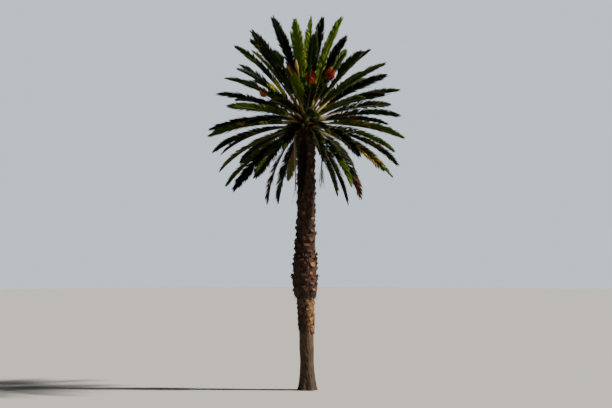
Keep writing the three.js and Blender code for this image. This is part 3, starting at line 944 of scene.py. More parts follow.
@dataclass
class Stem:
    """The bare stem, the rough column under the stubs and leaf bases, and the crown core.

    Attributes:
        sides: Count of sides of each column.
        rough_sides: Count of sides of each rough column.
        ring: Height between the rings of points of the bare stem.
        rough_ring: Height between those of a rough column.
        scar_step: Height between the scars of fallen leaves on the bare stem.
        scar: Depth of a scar.
        lobes: Lobes of the flare at the foot.
        flare: Depth of the lobes against the radius.
        flare_top: Height to which the lobes rise.
        swell: Depth of the broad relief of the bare stem.
        grit: Depth of its fine relief.
        crack: Depth of its cracks.
        smooth: Angle in degrees under which edges are shaded smooth.
        shade_side: Direction of the side darkened with painted shade, in degrees.
        foot_shade_top: Height to which the foot is darkened with painted shade.
        foot_shade_fade: Height over which that painted shade fades.
        under: How far the rough columns lie under their outlines.
    """

    sides: int = 120
    rough_sides: int = 96
    ring: float = 0.0125
    rough_ring: float = 0.03
    scar_step: float = 0.074
    scar: float = 0.006
    lobes: int = 6
    flare: float = 0.08
    flare_top: float = 0.6
    swell: float = 0.009
    grit: float = 0.004
    crack: float = 0.006
    smooth: float = 50
    shade_side: float = 210
    foot_shade_top: float = 1.9
    foot_shade_fade: float = 0.8
    under: float = 0.008

    def dress(
        self, thing: bpy.types.Object, size: np.ndarray, middle: Rows, tone: np.ndarray, hollow: np.ndarray,
        material: bpy.types.Material,
    ) -> None:
        """Gives a column its girth and finish.

        Args:
            thing: The column, of radius 1.
            size: Radius at each of its points.
            middle: Sideways shift of its middle by height.
            tone: Lightness of each point.
            hollow: How much painted shade each point carries.
            material: Its material.
        """
        x, y, height = read_points(thing.data).T
        points = np.stack([along(middle, height) + x * size, y * size, height], 1)
        thing.data.vertices.foreach_set("co", points.ravel())
        thing.data.update()
        Bench.smooth(thing, self.smooth)
        write_values(thing.data, {"tone": tone, "hollow": hollow, "cut": np.zeros(len(tone))})
        finish(thing, material, ["trunk"])

    def bare(self) -> None:
        """Builds the bare stem with its scars, cracks and flare."""
        thing, angle, height = Bench.column("bare_stem", self.sides, 0.0, BARE_TOP + 0.05, self.ring)
        swell = ripple(11, 14, 5, 1.2)(angle, height)
        grit = ripple(12, 26, 19, 5.0)(angle, height)
        wobble = ripple(13, 6, 4, 0.5)(angle, height)
        crack = ripple(14, 16, 36, 1.5)(angle, height)
        fade = ripple(15, 18, 7, 4.0)(angle, height)
        place = (height + 0.03 * wobble) / self.scar_step
        scar = np.abs(place - np.round(place)) * 2 * clip(0.62 + 0.5 * fade, 0.1) ** 0.25
        flare = self.flare * clip(1 - height / self.flare_top) * np.cos(self.lobes * angle + 0.6)
        size = along(BARE_OUTLINE, height) * (1 + flare) - self.scar * scar**3
        size += self.swell * swell + self.grit * grit - self.crack * clip(crack - 0.8)
        # Painted shade: darker along the scar grooves and in the cracks
        hollow = clip(scar**4 * 0.75 + clip(crack - 0.9))
        tone = clip(0.62 + 0.3 * swell + 0.12 * grit)
        # Painted shade: darker on the side away from the sun and towards the very foot
        side_shade = clip(np.cos(angle - math.radians(self.shade_side)) + 0.4 * swell)
        tone *= clip(0.55 + height * 0.9) * (1 - 0.6 * side_shade)
        hollow = np.maximum(hollow, 0.4 * side_shade * (0.75 + 0.25 * grit))
        # Painted shade over the foot, fading upwards and strongest on the sunlit right side
        dull = clip((self.foot_shade_top - height + 0.3 * swell) / self.foot_shade_fade)
        dull *= 0.5 + 0.28 * clip(np.cos(angle))
        hollow = np.maximum(hollow, dull * (0.8 + 0.2 * grit))
        self.dress(thing, size, SWAY, tone, hollow, BARE_BARK.material())

    def underlay(self) -> None:
        """Builds the fibre-clad columns that show between stubs and leaf bases, and the crown core."""
        broad = ripple(21, 16, 9, 2.5)
        fine = ripple(22, 30, 40, 9.0)
        fibre = FIBRE.material()
        upright = ((0, CROWN_SHIFT), (CORE_TOP, CROWN_SHIFT))
        for name, low, high, outline, middle in (
            ("stub_column", BARE_TOP - 0.09, STUB_TOP + 0.05, STUB_OUTLINE, SWAY),
            ("coat_column", STUB_TOP - 0.04, BOOT_TOP + 0.09, BOOT_OUTLINE, SWAY),
            ("crown_core", BOOT_TOP - 0.1, CORE_TOP, CORE_OUTLINE, upright),
        ):
            thing, angle, height = Bench.column(name, self.rough_sides, low, high, self.rough_ring)
            swell = broad(angle, height)
            grit = fine(angle, height)
            # Drawn in where it meets the bare stem
            drawn = 0.25 * clip(BARE_TOP + 0.09 - height, 0, 0.16)
            size = along(outline, height) - self.under + 0.008 * swell + 0.005 * grit - drawn
            tone = clip(0.45 + 0.35 * swell + 0.2 * grit)
            # Painted shade: darker in the dips of the fine relief
            self.dress(thing, size, middle, tone, clip(0.3 - 0.5 * grit), fibre)


@dataclass
class Lattice:
    """Staggered rows of leaf bases round the stem.

    Attributes:
        outline: Rows of height and radius.
        bottom: Height of the lowest row line.
        top: Height of the highest row line.
        rows: Count of row steps.
        around: Leaf bases in a row.
        twist: Turn of each row against the one below, in degrees.
    """

    outline: Rows
    bottom: float
    top: float
    rows: int
    around: int
    twist: float = 3.2

    def spots(self) -> list[tuple[float, float, float, float]]:
        """Sets out the places of the leaf bases.

        Returns:
            Angle, height, radius and width of each place, from the bottom up.
        """
        found = []
        step = (self.top - self.bottom) / self.rows
        for row in range(self.rows - 1):
            height = self.bottom + step * (row + 1)
            radius = float(along(self.outline, height))
            for k in range(self.around):
                angle = (k + (row % 2) * 0.5) / self.around * 2 * math.pi
                angle += math.radians(self.twist) * (row + 1)
                found.append((angle, height, radius, 2 * math.pi * radius / self.around))
        return found


class BootShape(Enum):
    """Shapes of old leaf bases.

    Each holds the width of its end against its foot, the height of its end, how far the end stands out,
    the slope of its cut end and the height of the splinters there.
    """

    SQUARE = (0.62, 0.36, 0.3, 0.75, 0.02)
    NARROW = (0.4, 0.44, 0.34, 1.0, 0.03)
    SPLIT = (0.3, 0.56, 0.2, 0.5, 0.1)
    BROKEN = (0.74, 0.2, 0.24, 0.9, 0.06)
    SHORT = (0.55, 0.26, 0.36, 1.25, 0.02)

    def pattern(self) -> Pattern:
        """Models the shape, x across, y outwards and z up, its cut end facing up and out.

        Returns:
            The leaf base for a width of 1 and a height of 1.
        """
        neck, rise, stand, slope, jag = self.value
        bench = Bench.cube("boot", (0.98, 0.2, 0.3), (0, 0.02, -0.08))
        bench.edit(lambda edge: abs(edge.verts[0].co.x - edge.verts[1].co.x) > 0.5, Pick.EDGES)
        bpy.ops.mesh.subdivide(number_cuts=3)
        bench.edit(lambda face: face.normal.z < -0.9)
        bench.grow((0, -0.05, -0.3), (0.28, 0.5, 1), (0, 0, -0.5))
        bench.edit(lambda face: face.normal.z > 0.9)
        share = math.sqrt(neck)
        bench.grow((0, stand * 0.4, rise * 0.5), (share, 0.9, 1), (0, 0.02 + stand * 0.4, 0))
        bench.grow((0, stand * 0.6, rise * 0.5), (share, 0.85, 1), (0, 0.02 + stand, 0))
        bpy.ops.mesh.inset(thickness=0.045, depth=0)
        bpy.ops.mesh.extrude_region_move(TRANSFORM_OT_translate={"value": (0, 0, -0.012)})
        pattern = Pattern.of(bench.done())
        x, y, height = pattern.points.T
        top = 0.07 + rise
        end = height > top - 0.05
        # The outer face is rounded, and the cut end tips outwards and is splintered
        outer = y > 0.02 + clip(height / top) * stand
        moon = 0.16 * clip(1 - (x / (0.56 * neck)) ** 2) - 0.05
        bulge = 0.1 * clip(1 - (x / 0.5) ** 2)
        y = y + np.where(outer, np.where(end, moon, bulge), -0.02)
        splinters = jag * np.sin(x * 23 + 1) + jag * 0.6 * np.sin(x * 41)
        z = height + end * (splinters - slope * (y - stand))
        pattern.points = np.stack([x, y, z], 1)
        pattern.values["cut"] = end.astype(float)
        # Painted shade: darker towards the lower end
        pattern.values["hollow"] = clip((-0.1 - height) / 0.35)
        return pattern


@dataclass(frozen=True)
class Coat:
    """One stretch of leaf bases.

    Attributes:
        name: The piece's name.
        lattice: Where they sit.
        tall: Height of one.
        stand: Depth scale of one.
        rough: How much they differ.
        shapes: Their shapes with the share of each.
        pale: Share of ends that are cut fresh and pale.
        bark: Their finish.
    """

    name: str
    lattice: Lattice
    tall: float
    stand: float
    rough: float
    shapes: tuple[tuple[BootShape, float], ...]
    pale: float
    bark: Bark


COATS = (
    Coat(
        "leaf_bases", Lattice(BOOT_OUTLINE, STUB_TOP, BOOT_TOP, 32, 8), 0.4, 0.23, 0.26,
        (
            (BootShape.SQUARE, 0.2), (BootShape.NARROW, 0.28), (BootShape.SPLIT, 0.16),
            (BootShape.BROKEN, 0.16), (BootShape.SHORT, 0.2),
        ),
        0.3, BOOT_BARK,
    ),
    Coat(
        "trimmed_stubs", Lattice(STUB_OUTLINE, 2.09, 3.36, 7, 9), 0.33, 0.09, 0.3,
        ((BootShape.SQUARE, 0.4), (BootShape.BROKEN, 0.35), (BootShape.SHORT, 0.25)), 0.24, STUB_BARK,
    ),
)


@dataclass
class LeafBases:
    """Old leaf bases that coat the stem, and the trimmed stubs under them.

    Attributes:
        coats: The stretches of the coat.
        missing: Share of places where the leaf base has fallen.
        whole_below: Height under which none has fallen.
        young_from: Height from which they get taller.
        upper_from: Height from which they lie closer and are darkened with painted shade, for the crown's
            shadow.
        fresh_below: Height under which some ends are cut fresh.
        low_stubs: Height under which stubs get the strongest painted shade.
        sink: How far their backs lie in the stem.
        lean: Usual lean to the side, in radians.
        tilt: Usual tilt outwards, in radians.
        smooth: Angle in degrees under which edges are shaded smooth.
    """

    coats: tuple[Coat, ...] = COATS
    missing: float = 0.03
    whole_below: float = 3.8
    young_from: float = 6.8
    upper_from: float = 4.7
    fresh_below: float = 8.5
    low_stubs: float = 2.75
    sink: float = 0.012
    lean: float = 0.12
    tilt: float = 0.07
    smooth: float = 38

    def painted_side_shade(self, coat: Coat, angle: float, height: float) -> tuple[float, float]:
        """Says how much painted shade the place of a leaf base gets, on the side away from the sun.

        Args:
            coat: The stretch of leaf bases.
            angle: Its angle round the stem.
            height: Its height.

        Returns:
            How far it faces the shaded side, and how strong its painted shade is.
        """
        low = height <= self.low_stubs
        side = max(math.cos(angle - math.radians(210 if low else 190)), 0) ** 0.7
        strength = 0.7 if coat.bark is BOOT_BARK else 1.2 if low else 0.95
        return side, side * strength

    def scatter(self, coat: Coat) -> None:
        """Copies the shapes to every place of a coat and joins the copies.

        Args:
            coat: The stretch of leaf bases.
        """
        rng = np.random.default_rng(31 + coat.lattice.around)
        shapes = [shape.pattern() for shape, _ in coat.shapes]
        shares = [share for _, share in coat.shapes]
        skin = Skin()
        for angle, height, radius, width in coat.lattice.spots():
            lowest = height < coat.lattice.bottom + 0.2 and coat.bark is STUB_BARK
            pattern = shapes[rng.choice(len(shapes), p=shares)]
            gone = rng.uniform() < self.missing and height > self.whole_below
            young = float(clip((height - self.young_from) / 2.2))
            upper = float(clip((height - self.upper_from) / 1.6)) * (coat.bark is BOOT_BARK)
            size = np.array([
                width * rng.uniform(0.84, 1.12),
                coat.stand * rng.uniform(1 - coat.rough * 1.3, 1 + coat.rough)
                * (0.35 if gone else 1) * (1 - 0.3 * upper),
                coat.tall * rng.uniform(1 - coat.rough * 0.7, 1 + coat.rough * 0.5 + 0.15 * young),
            ])
            local = pattern.points * size
            wave = rng.uniform(0, 6.28, 4)
            local[:, 1] += 0.008 * np.sin(local[:, 0] * 60 + wave[0]) * np.sin(local[:, 2] * 46 + wave[1])
            local[:, 2] += 0.012 * np.sin(local[:, 0] * 44 + wave[2]) * (local[:, 2] > 0)
            lean = rng.normal(0, self.lean)
            tilt = rng.normal(0, self.tilt)
            x = local[:, 0] * math.cos(lean) - local[:, 2] * math.sin(lean)
            z = local[:, 0] * math.sin(lean) + local[:, 2] * math.cos(lean)
            y = local[:, 1] + clip(z, -0.05) * math.sin(tilt)
            if STUB_TOP - 0.1 < height < STUB_TOP + 0.45:
                y -= clip(-z - 0.06, 0, 0.2) * 0.5
            out = radius - self.sink + y
            bend = angle + rng.normal(0, 0.05) - x / (radius + 0.03)
            tall = height + z + (rng.uniform(-0.11, 0) if lowest else rng.normal(0, 0.02))
            points = np.stack([along(SWAY, tall) + out * np.cos(bend), out * np.sin(bend), tall], 1)
            # Painted shade: leaf bases on the side away from the sun, and high up under the crown, are
            # darker and fewer have fresh pale ends
            side, side_shade = self.painted_side_shade(coat, angle, height)
            tone = clip(0.5 + rng.normal(0, 0.28) - 0.3 * upper) * (1 - 0.8 * side_shade)
            fresh = rng.uniform() < coat.pale * (1 - 0.6 * upper)
            fresh = fresh and height < self.fresh_below and side < 0.6
            cut = pattern.values["cut"] * (rng.uniform(0.6, 1) if fresh else rng.uniform(0.02, 0.22))
            deep = max(0.45 * upper * rng.uniform(0.4, 1.3), 0.8 * side_shade)
            hollow = np.maximum(pattern.values["hollow"], deep)
            skin.add(points, pattern.faces, tone=tone, cut=cut, hollow=hollow)
        finish(skin.build(coat.name, self.smooth), coat.bark.material(), ["trunk"])

    def build(self) -> None:
        """Builds each stretch."""
        for coat in self.coats:
            self.scatter(coat)


@dataclass
class Fibres:
    """Loose brown fibre that hangs between the leaf bases and round the feet of the fronds.

    Attributes:
        zones: Rows of lowest and highest height, outline, count and longest strand.
        thick: Thickness of a strand at its root.
        sag: Drop of a strand's tip against its length.
        stations: Rows of place along a strand and share of its thickness there.
    """

    zones: tuple[tuple[float, float, Rows, int, float], ...] = (
        (3.27, 3.42, BOOT_OUTLINE, 260, 0.13),
        (3.4, 8.9, BOOT_OUTLINE, 900, 0.15),
        (8.92, 9.9, CORE_OUTLINE, 1000, 0.36),
    )
    thick: float = 0.006
    sag: float = 1.1
    stations: Rows = ((0.0, 1.0), (0.35, 0.8), (0.7, 0.5))

    def build(self) -> None:
        """Builds the strands as thin three-sided spikes that sag."""
        rng = np.random.default_rng(55)
        skin = Skin()
        ends = [(6, 7, 9, -1), (7, 8, 9, -1), (8, 6, 9, -1), (2, 1, 0, -1)]
        faces = np.array(walls(3, 3).tolist() + ends)
        for low, high, outline, count, longest in self.zones:
            height = rng.uniform(low, high, count)
            angle = rng.uniform(0, 2 * math.pi, count)
            radius = along(outline, height) + rng.uniform(-0.01, 0.03, count)
            middle = along(SWAY, height)
            out = np.stack([np.cos(angle), np.sin(angle), np.zeros(count)], 1)
            side = np.stack([-np.sin(angle), np.cos(angle), np.zeros(count)], 1)
            root = out * radius[:, None] + np.stack([middle, np.zeros(count), height], 1)
            long = longest * rng.uniform(0.3, 1, count) ** 1.3
            way = out * rng.uniform(0.25, 0.9, (count, 1)) + side * rng.normal(0, 0.45, (count, 1))
            way[:, 2] += rng.uniform(-0.4, 0.7, count)
            rings = []
            for t, share in self.stations:
                place = root + way * (long * t)[:, None]
                place[:, 2] -= self.sag * long * t * t
                half = self.thick * share * 0.5
                for turn in (0.0, 2.1, 4.2):
                    rings.append(place + out * half * math.cos(turn) + side * half * math.sin(turn))
            tip = root + way * long[:, None]
            tip[:, 2] -= self.sag * long
            skin.repeat(np.stack([*rings, tip], 1), faces, tone=rng.uniform(0, 1, count)[:, None])
        finish(skin.build("fibres"), STRAND.material(), [])


@dataclass(frozen=True)
class OldStalk:
    """One spent fruit stalk that hangs beside the stem with its dry strands.

    Attributes:
        path: Points that its curve follows, from the crown's core down.
        radius: Its radius at the top and at the end.
        strands: Count of its strands.
        bark: Its finish.
    """

    path: tuple[Triple, ...]
    radius: tuple[float, float]
    strands: int
    bark: Bark

    def curve(self, t: np.ndarray) -> np.ndarray:
        """Gives places along the curve.

        Args:
            t: Places, 0 at the core and 1 at the end.

        Returns:
            The points there.
        """
        points = np.array(self.path)
        last = len(points) - 1
        shares = [math.comb(last, k) * t**k * (1 - t) ** (last - k) for k in range(last + 1)]
        return np.stack(shares, 1) @ points


@dataclass
class OldStalks:
    """The spent fruit stalks under the crown.

    Attributes:
        stalks: Each of them.
        steps: Count of places along a stalk.
        sides: Count of sides of a stalk.
        threads: Radius of a strand at its root and tip.
    """

    stalks: tuple[OldStalk, ...] = (
        OldStalk(
            (
                (-0.35, -0.12, 9.3), (-0.5, -0.16, 9.3), (-0.5, -0.16, 8.6), (-0.4, -0.15, 7.9),
                (-0.43, -0.13, 7.1),
            ),
            (0.038, 0.02), 12, OLD_STALK,
        ),
        OldStalk(
            (
                (0.22, -0.06, 9.25), (0.5, -0.1, 9.4), (0.56, -0.12, 8.6), (0.5, -0.12, 8.0),
                (0.52, -0.12, 7.4),
            ),
            (0.032, 0.018), 26, STRAND,
        ),
    )
    steps: int = 40
    sides: int = 8
    threads: tuple[float, float] = (0.008, 0.004)

    def build(self) -> None:
        """Builds the stalks and their strands."""
        rng = np.random.default_rng(404)
        for stalk in self.stalks:
            skin = Skin()
            t = np.linspace(0, 1, self.steps)
            path = stalk.curve(t)
            path[:, 0] += 0.008 * np.sin(t * 23 + 1) * t
            path[:, 1] += 0.006 * np.sin(t * 31) * t
            knobs = 1 + 0.1 * np.sin(t * 37) + 0.08 * np.sin(t * 83 + 2)
            radii = np.linspace(*stalk.radius, self.steps) * knobs
            skin.add(*tube(path, radii, self.sides), tone=rng.uniform(0.3, 1, self.steps * self.sides))
            for start in np.linspace(0.7, 0.995, stalk.strands):
                root = stalk.curve(np.array([start]))[0]
                turn = rng.uniform(0, 2 * math.pi)
                long = rng.uniform(0.22, 0.5)
                out = np.array([math.cos(turn), math.sin(turn), 0])
                t = np.linspace(0, 1, 6)[:, None]
                belly = out * rng.uniform(0.05, 0.25)
                thread = root + (out * 0.2 - UP) * t * long + belly * t * (1 - t)
                skin.add(*tube(thread, np.linspace(*self.threads, 6), 5), tone=rng.uniform(0, 1))
            finish(skin.build("spent_" + stalk.bark.name, 50), stalk.bark.material(), [])


# Crown


@dataclass(frozen=True)
class FrondLine:
    """One frond's place on the crown and its curve.

    Attributes:
        index: Its number, 0 the youngest.
        age: 0 at the bud, 1 on the oldest.
        dry: Whether it is dead.
        azimuth: Direction from the crown's axis, in radians.
        launch: Rise at its foot, in degrees.
        droop: Bend from foot to tip, in degrees.
        length: Length of its rib.
        twist: Turn of its blade from foot to tip, in degrees.
        curve: Rows of place along the rib, distance from the axis and height.
    """

    index: int
    age: float
    dry: bool
    azimuth: float
    launch: float
    droop: float
    length: float
    twist: float
    curve: np.ndarray

    @property
    def out(self) -> np.ndarray:
        """Level direction away from the crown's axis."""
        return np.array([math.cos(self.azimuth), math.sin(self.azimuth), 0.0])

    def frames(self, q: np.ndarray) -> tuple[np.ndarray, np.ndarray, np.ndarray, np.ndarray]:
        """Gives the rib's frame at places along it.

        Args:
            q: Places, 0 at the foot and 1 at the tip.

        Returns:
            The places on the rib's top, and its run, side and upper normal there.
        """
        slope = np.radians(self.launch - self.droop * np.maximum(q, 0) ** CrownRule.droop_power)
        out = self.out
        cos = np.cos(slope)[:, None]
        sin = np.sin(slope)[:, None]
        run = cos * out + sin * UP
        flat_side = np.array([-out[1], out[0], 0.0])
        flat_normal = cos * UP - sin * out
        turn = (math.radians(self.twist) * np.maximum(q, 0))[:, None]
        side = np.cos(turn) * flat_side + np.sin(turn) * flat_normal
        normal = np.cos(turn) * flat_normal - np.sin(turn) * flat_side
        inside = clip(q)
        radius = np.interp(inside, self.curve[:, 0], self.curve[:, 1])
        height = np.interp(inside, self.curve[:, 0], self.curve[:, 2])
        place = CROWN_AXIS + radius[:, None] * out + height[:, None] * UP
        place += run * ((q - inside) * self.length)[:, None]
        return place, run, side, normal


@dataclass(frozen=True)
class CrownRule:
    """The golden-angle rule that sets out the fronds, the same as the solids'.

    Attributes:
        seed: Seed of the differences between fronds.
        count: Count of fronds, the dead ones among them.
        dry: Count of dead fronds, the lowest ones.
        golden: Turn from one frond to the next, in degrees.
        azimuth_jitter: Largest difference of a frond's direction, in degrees.
        rise_jitter: Largest difference of its rise, in degrees.
        length_jitter: Largest difference of its length, as a share.
        droop_jitter: Largest difference of its bend, as a share.
        lowest_rise: Rise of the oldest frond, in degrees.
        lengths: Rows of age and length.
        droops: Rows of age and bend from foot to tip, in degrees.
        droop_share: Share of the bend that is added to the rise at the foot.
        droop_power: How late along the rib the bend sets in.
        twist: Largest turn of a blade, in degrees.
        twist_least: Smallest turn, as a share of the largest.
        dry_drop: How much lower a dead frond hangs, in degrees.
        dry_length: Length of a dead frond against a live one.
        dry_droop: Bend of a dead frond against a live one.
        dome_radius: Distance of the youngest foot from the axis.
        side_radius: Distance of the feet on the core's side.
        dome_drop: Height of the core's dome.
        lowest_foot: Height of the oldest foot.
        dome_share: Share of the fronds that stand on the dome.
        steps: Count of steps along a rib.
    """

    seed: int = 9175
    count: int = 84
    dry: int = 5
    golden: float = 137.508
    azimuth_jitter: float = 8
    rise_jitter: float = 4
    length_jitter: float = 0.07
    droop_jitter: float = 0.3
    lowest_rise: float = -48
    lengths: Rows = ((0, 2.98), (0.5, 2.9), (1, 3.53))
    droops: Rows = ((0, 8), (0.35, 20), (0.5, 15), (0.72, 27), (1, 19))
    droop_share: float = 0.42
    droop_power: float = 1.4
    twist: float = 60
    twist_least: float = 0.35
    dry_drop: float = 18
    dry_length: float = 0.8
    dry_droop: float = 1.2
    dome_radius: float = 0.12
    side_radius: float = 0.4
    dome_drop: float = 0.35
    lowest_foot: float = 9.19
    dome_share: float = 0.25
    steps: int = 24

    def curve(self, age: float, length: float, launch: float, droop: float) -> np.ndarray:
        """Follows a rib from its foot.

        Args:
            age: The frond's age.
            length: Its length.
            launch: Rise at the foot, in degrees.
            droop: Bend from foot to tip, in degrees.

        Returns:
            Rows of place along the rib, distance from the axis and height.
        """
        spread = math.sqrt(age / self.dome_share)
        radius = self.side_radius
        height = CORE_TOP - self.dome_drop
        if spread < 1:
            radius = self.dome_radius + (self.side_radius - self.dome_radius) * spread
            height = CORE_TOP - self.dome_drop * spread * spread
        else:
            height += (self.lowest_foot - height) * (age - self.dome_share) / (1 - self.dome_share)
        rows = [(0.0, radius, height)]
        for i in range(self.steps):
            slope = math.radians(launch - droop * ((i + 0.5) / self.steps) ** self.droop_power)
            radius += math.cos(slope) * length / self.steps
            height += math.sin(slope) * length / self.steps
            rows.append(((i + 1) / self.steps, radius, height))
        return np.array(rows)

    def grow(self) -> list[FrondLine]:
        """Sets out all fronds.

        Returns:
            The fronds, the youngest first.
        """
        dice = Dice(self.seed)
        first = dice.next() * 360
        found = []
        for index in range(self.count):
            age = (index + 0.5) / self.count
            azimuth = first + index * self.golden + dice.spread(self.azimuth_jitter)
            rise = 1 - (1 - math.sin(math.radians(self.lowest_rise))) * age
            chord = math.degrees(math.asin(max(-1.0, min(1.0, rise)))) + dice.spread(self.rise_jitter)
            longer = 1 + dice.spread(self.length_jitter)
            softer = 1 + dice.spread(self.droop_jitter)
            turn = dice.spread(1)
            dry = index >= self.count - self.dry
            droop = float(along(self.droops, age)) * softer
            length = float(along(self.lengths, age)) * longer
            if dry:
                chord -= self.dry_drop
                length *= self.dry_length
                droop *= self.dry_droop
            share = self.twist_least + (1 - self.twist_least) * abs(turn)
            twist = share * math.copysign(self.twist, turn)
            launch = chord + droop * self.droop_share
            curve = self.curve(age, length, launch, droop)
            line = FrondLine(index, age, dry, math.radians(azimuth), launch, droop, length, twist, curve)
            found.append(line)
        return found


@dataclass(frozen=True)
class BunchPlan:
    """Where one fruit bunch hangs among the fronds.

    Attributes:
        name: Its name.
        azimuth: Direction of its stalk from the crown's axis, in degrees.
        height: Height of the stalk's foot.
        bow: Shift of the stalk's middle.
        middle: The fruit's middle.
        width: The fruit's width.
        tall: The fruit's height.
        kind: Its look.
        sheath: Length of its sheath, 0 for none.
    """

    name: str
    azimuth: float
    height: float
    bow: Triple
    middle: Triple
    width: float
    tall: float
    kind: Kind
    sheath: float = 0.0

    def hides(self, points: np.ndarray) -> np.ndarray:
        """Says which points hang over the fruit's outer face.

        Args:
            points: Places in the crown.

        Returns:
            True for each point in the space that the fruit pushes free.
        """
        across = (points[:, 0] - self.middle[0]) / (self.width * 0.66)
        up = (points[:, 2] - self.middle[2]) / (self.tall * 0.6)
        out = (points[:, 1] - self.middle[1]) * math.copysign(1, self.middle[1])
        return (across**2 + up**2 < 1) & (out > -0.1) & (out < 2.8)


BUNCHES = (
    BunchPlan("front", -76, 10.171, (-0.045, 0.039, -0.02), (0.109, -0.723, 11.06), 0.41, 0.68, Kind.RED),
    BunchPlan("right", -23.8, 10.077, (0.024, -0.015, -0.01), (0.8, -0.472, 11.2), 0.4, 0.56, Kind.RUST),
    BunchPlan(
        "left", -135.8, 9.953, (-0.035, -0.032, -0.002), (-0.63, -0.876, 11.285), 0.33, 0.52, Kind.DARK_RED,
        sheath=0.46,
    ),
    BunchPlan("side", -156.6, 9.623, (-0.111, 0, 0.041), (-1.56, -0.557, 10.53), 0.28, 0.36, Kind.ORANGE),
    BunchPlan("rear", 23.2, 9.803, (-0.031, -0.009, 0.084), (0.255, 0.619, 11.093), 0.34, 0.52, Kind.RED),
    BunchPlan(
        "rear_left", 171.2, 9.926, (-0.068, -0.029, -0.073), (-0.715, 0.386, 10.924), 0.3, 0.46,
        Kind.DARK_RED,
    ),
)

# Section of a rib, over its top and back underneath, as shares of its width and depth. Faces of its ends.
RIB_SECTION = np.array([
    (0.5, 0), (0.33, 0.14), (-0.33, 0.14), (-0.5, 0),
    (-0.4, -0.5), (-0.14, -0.95), (0.14, -0.95), (0.4, -0.5),
])
RIB_FOOT = np.array([(0, 7, 6, 5), (0, 5, 4, 1), (4, 3, 2, 1)])
RIB_TIP = np.array([(0, 5, 6, 7), (0, 1, 4, 5), (1, 2, 3, 4)])


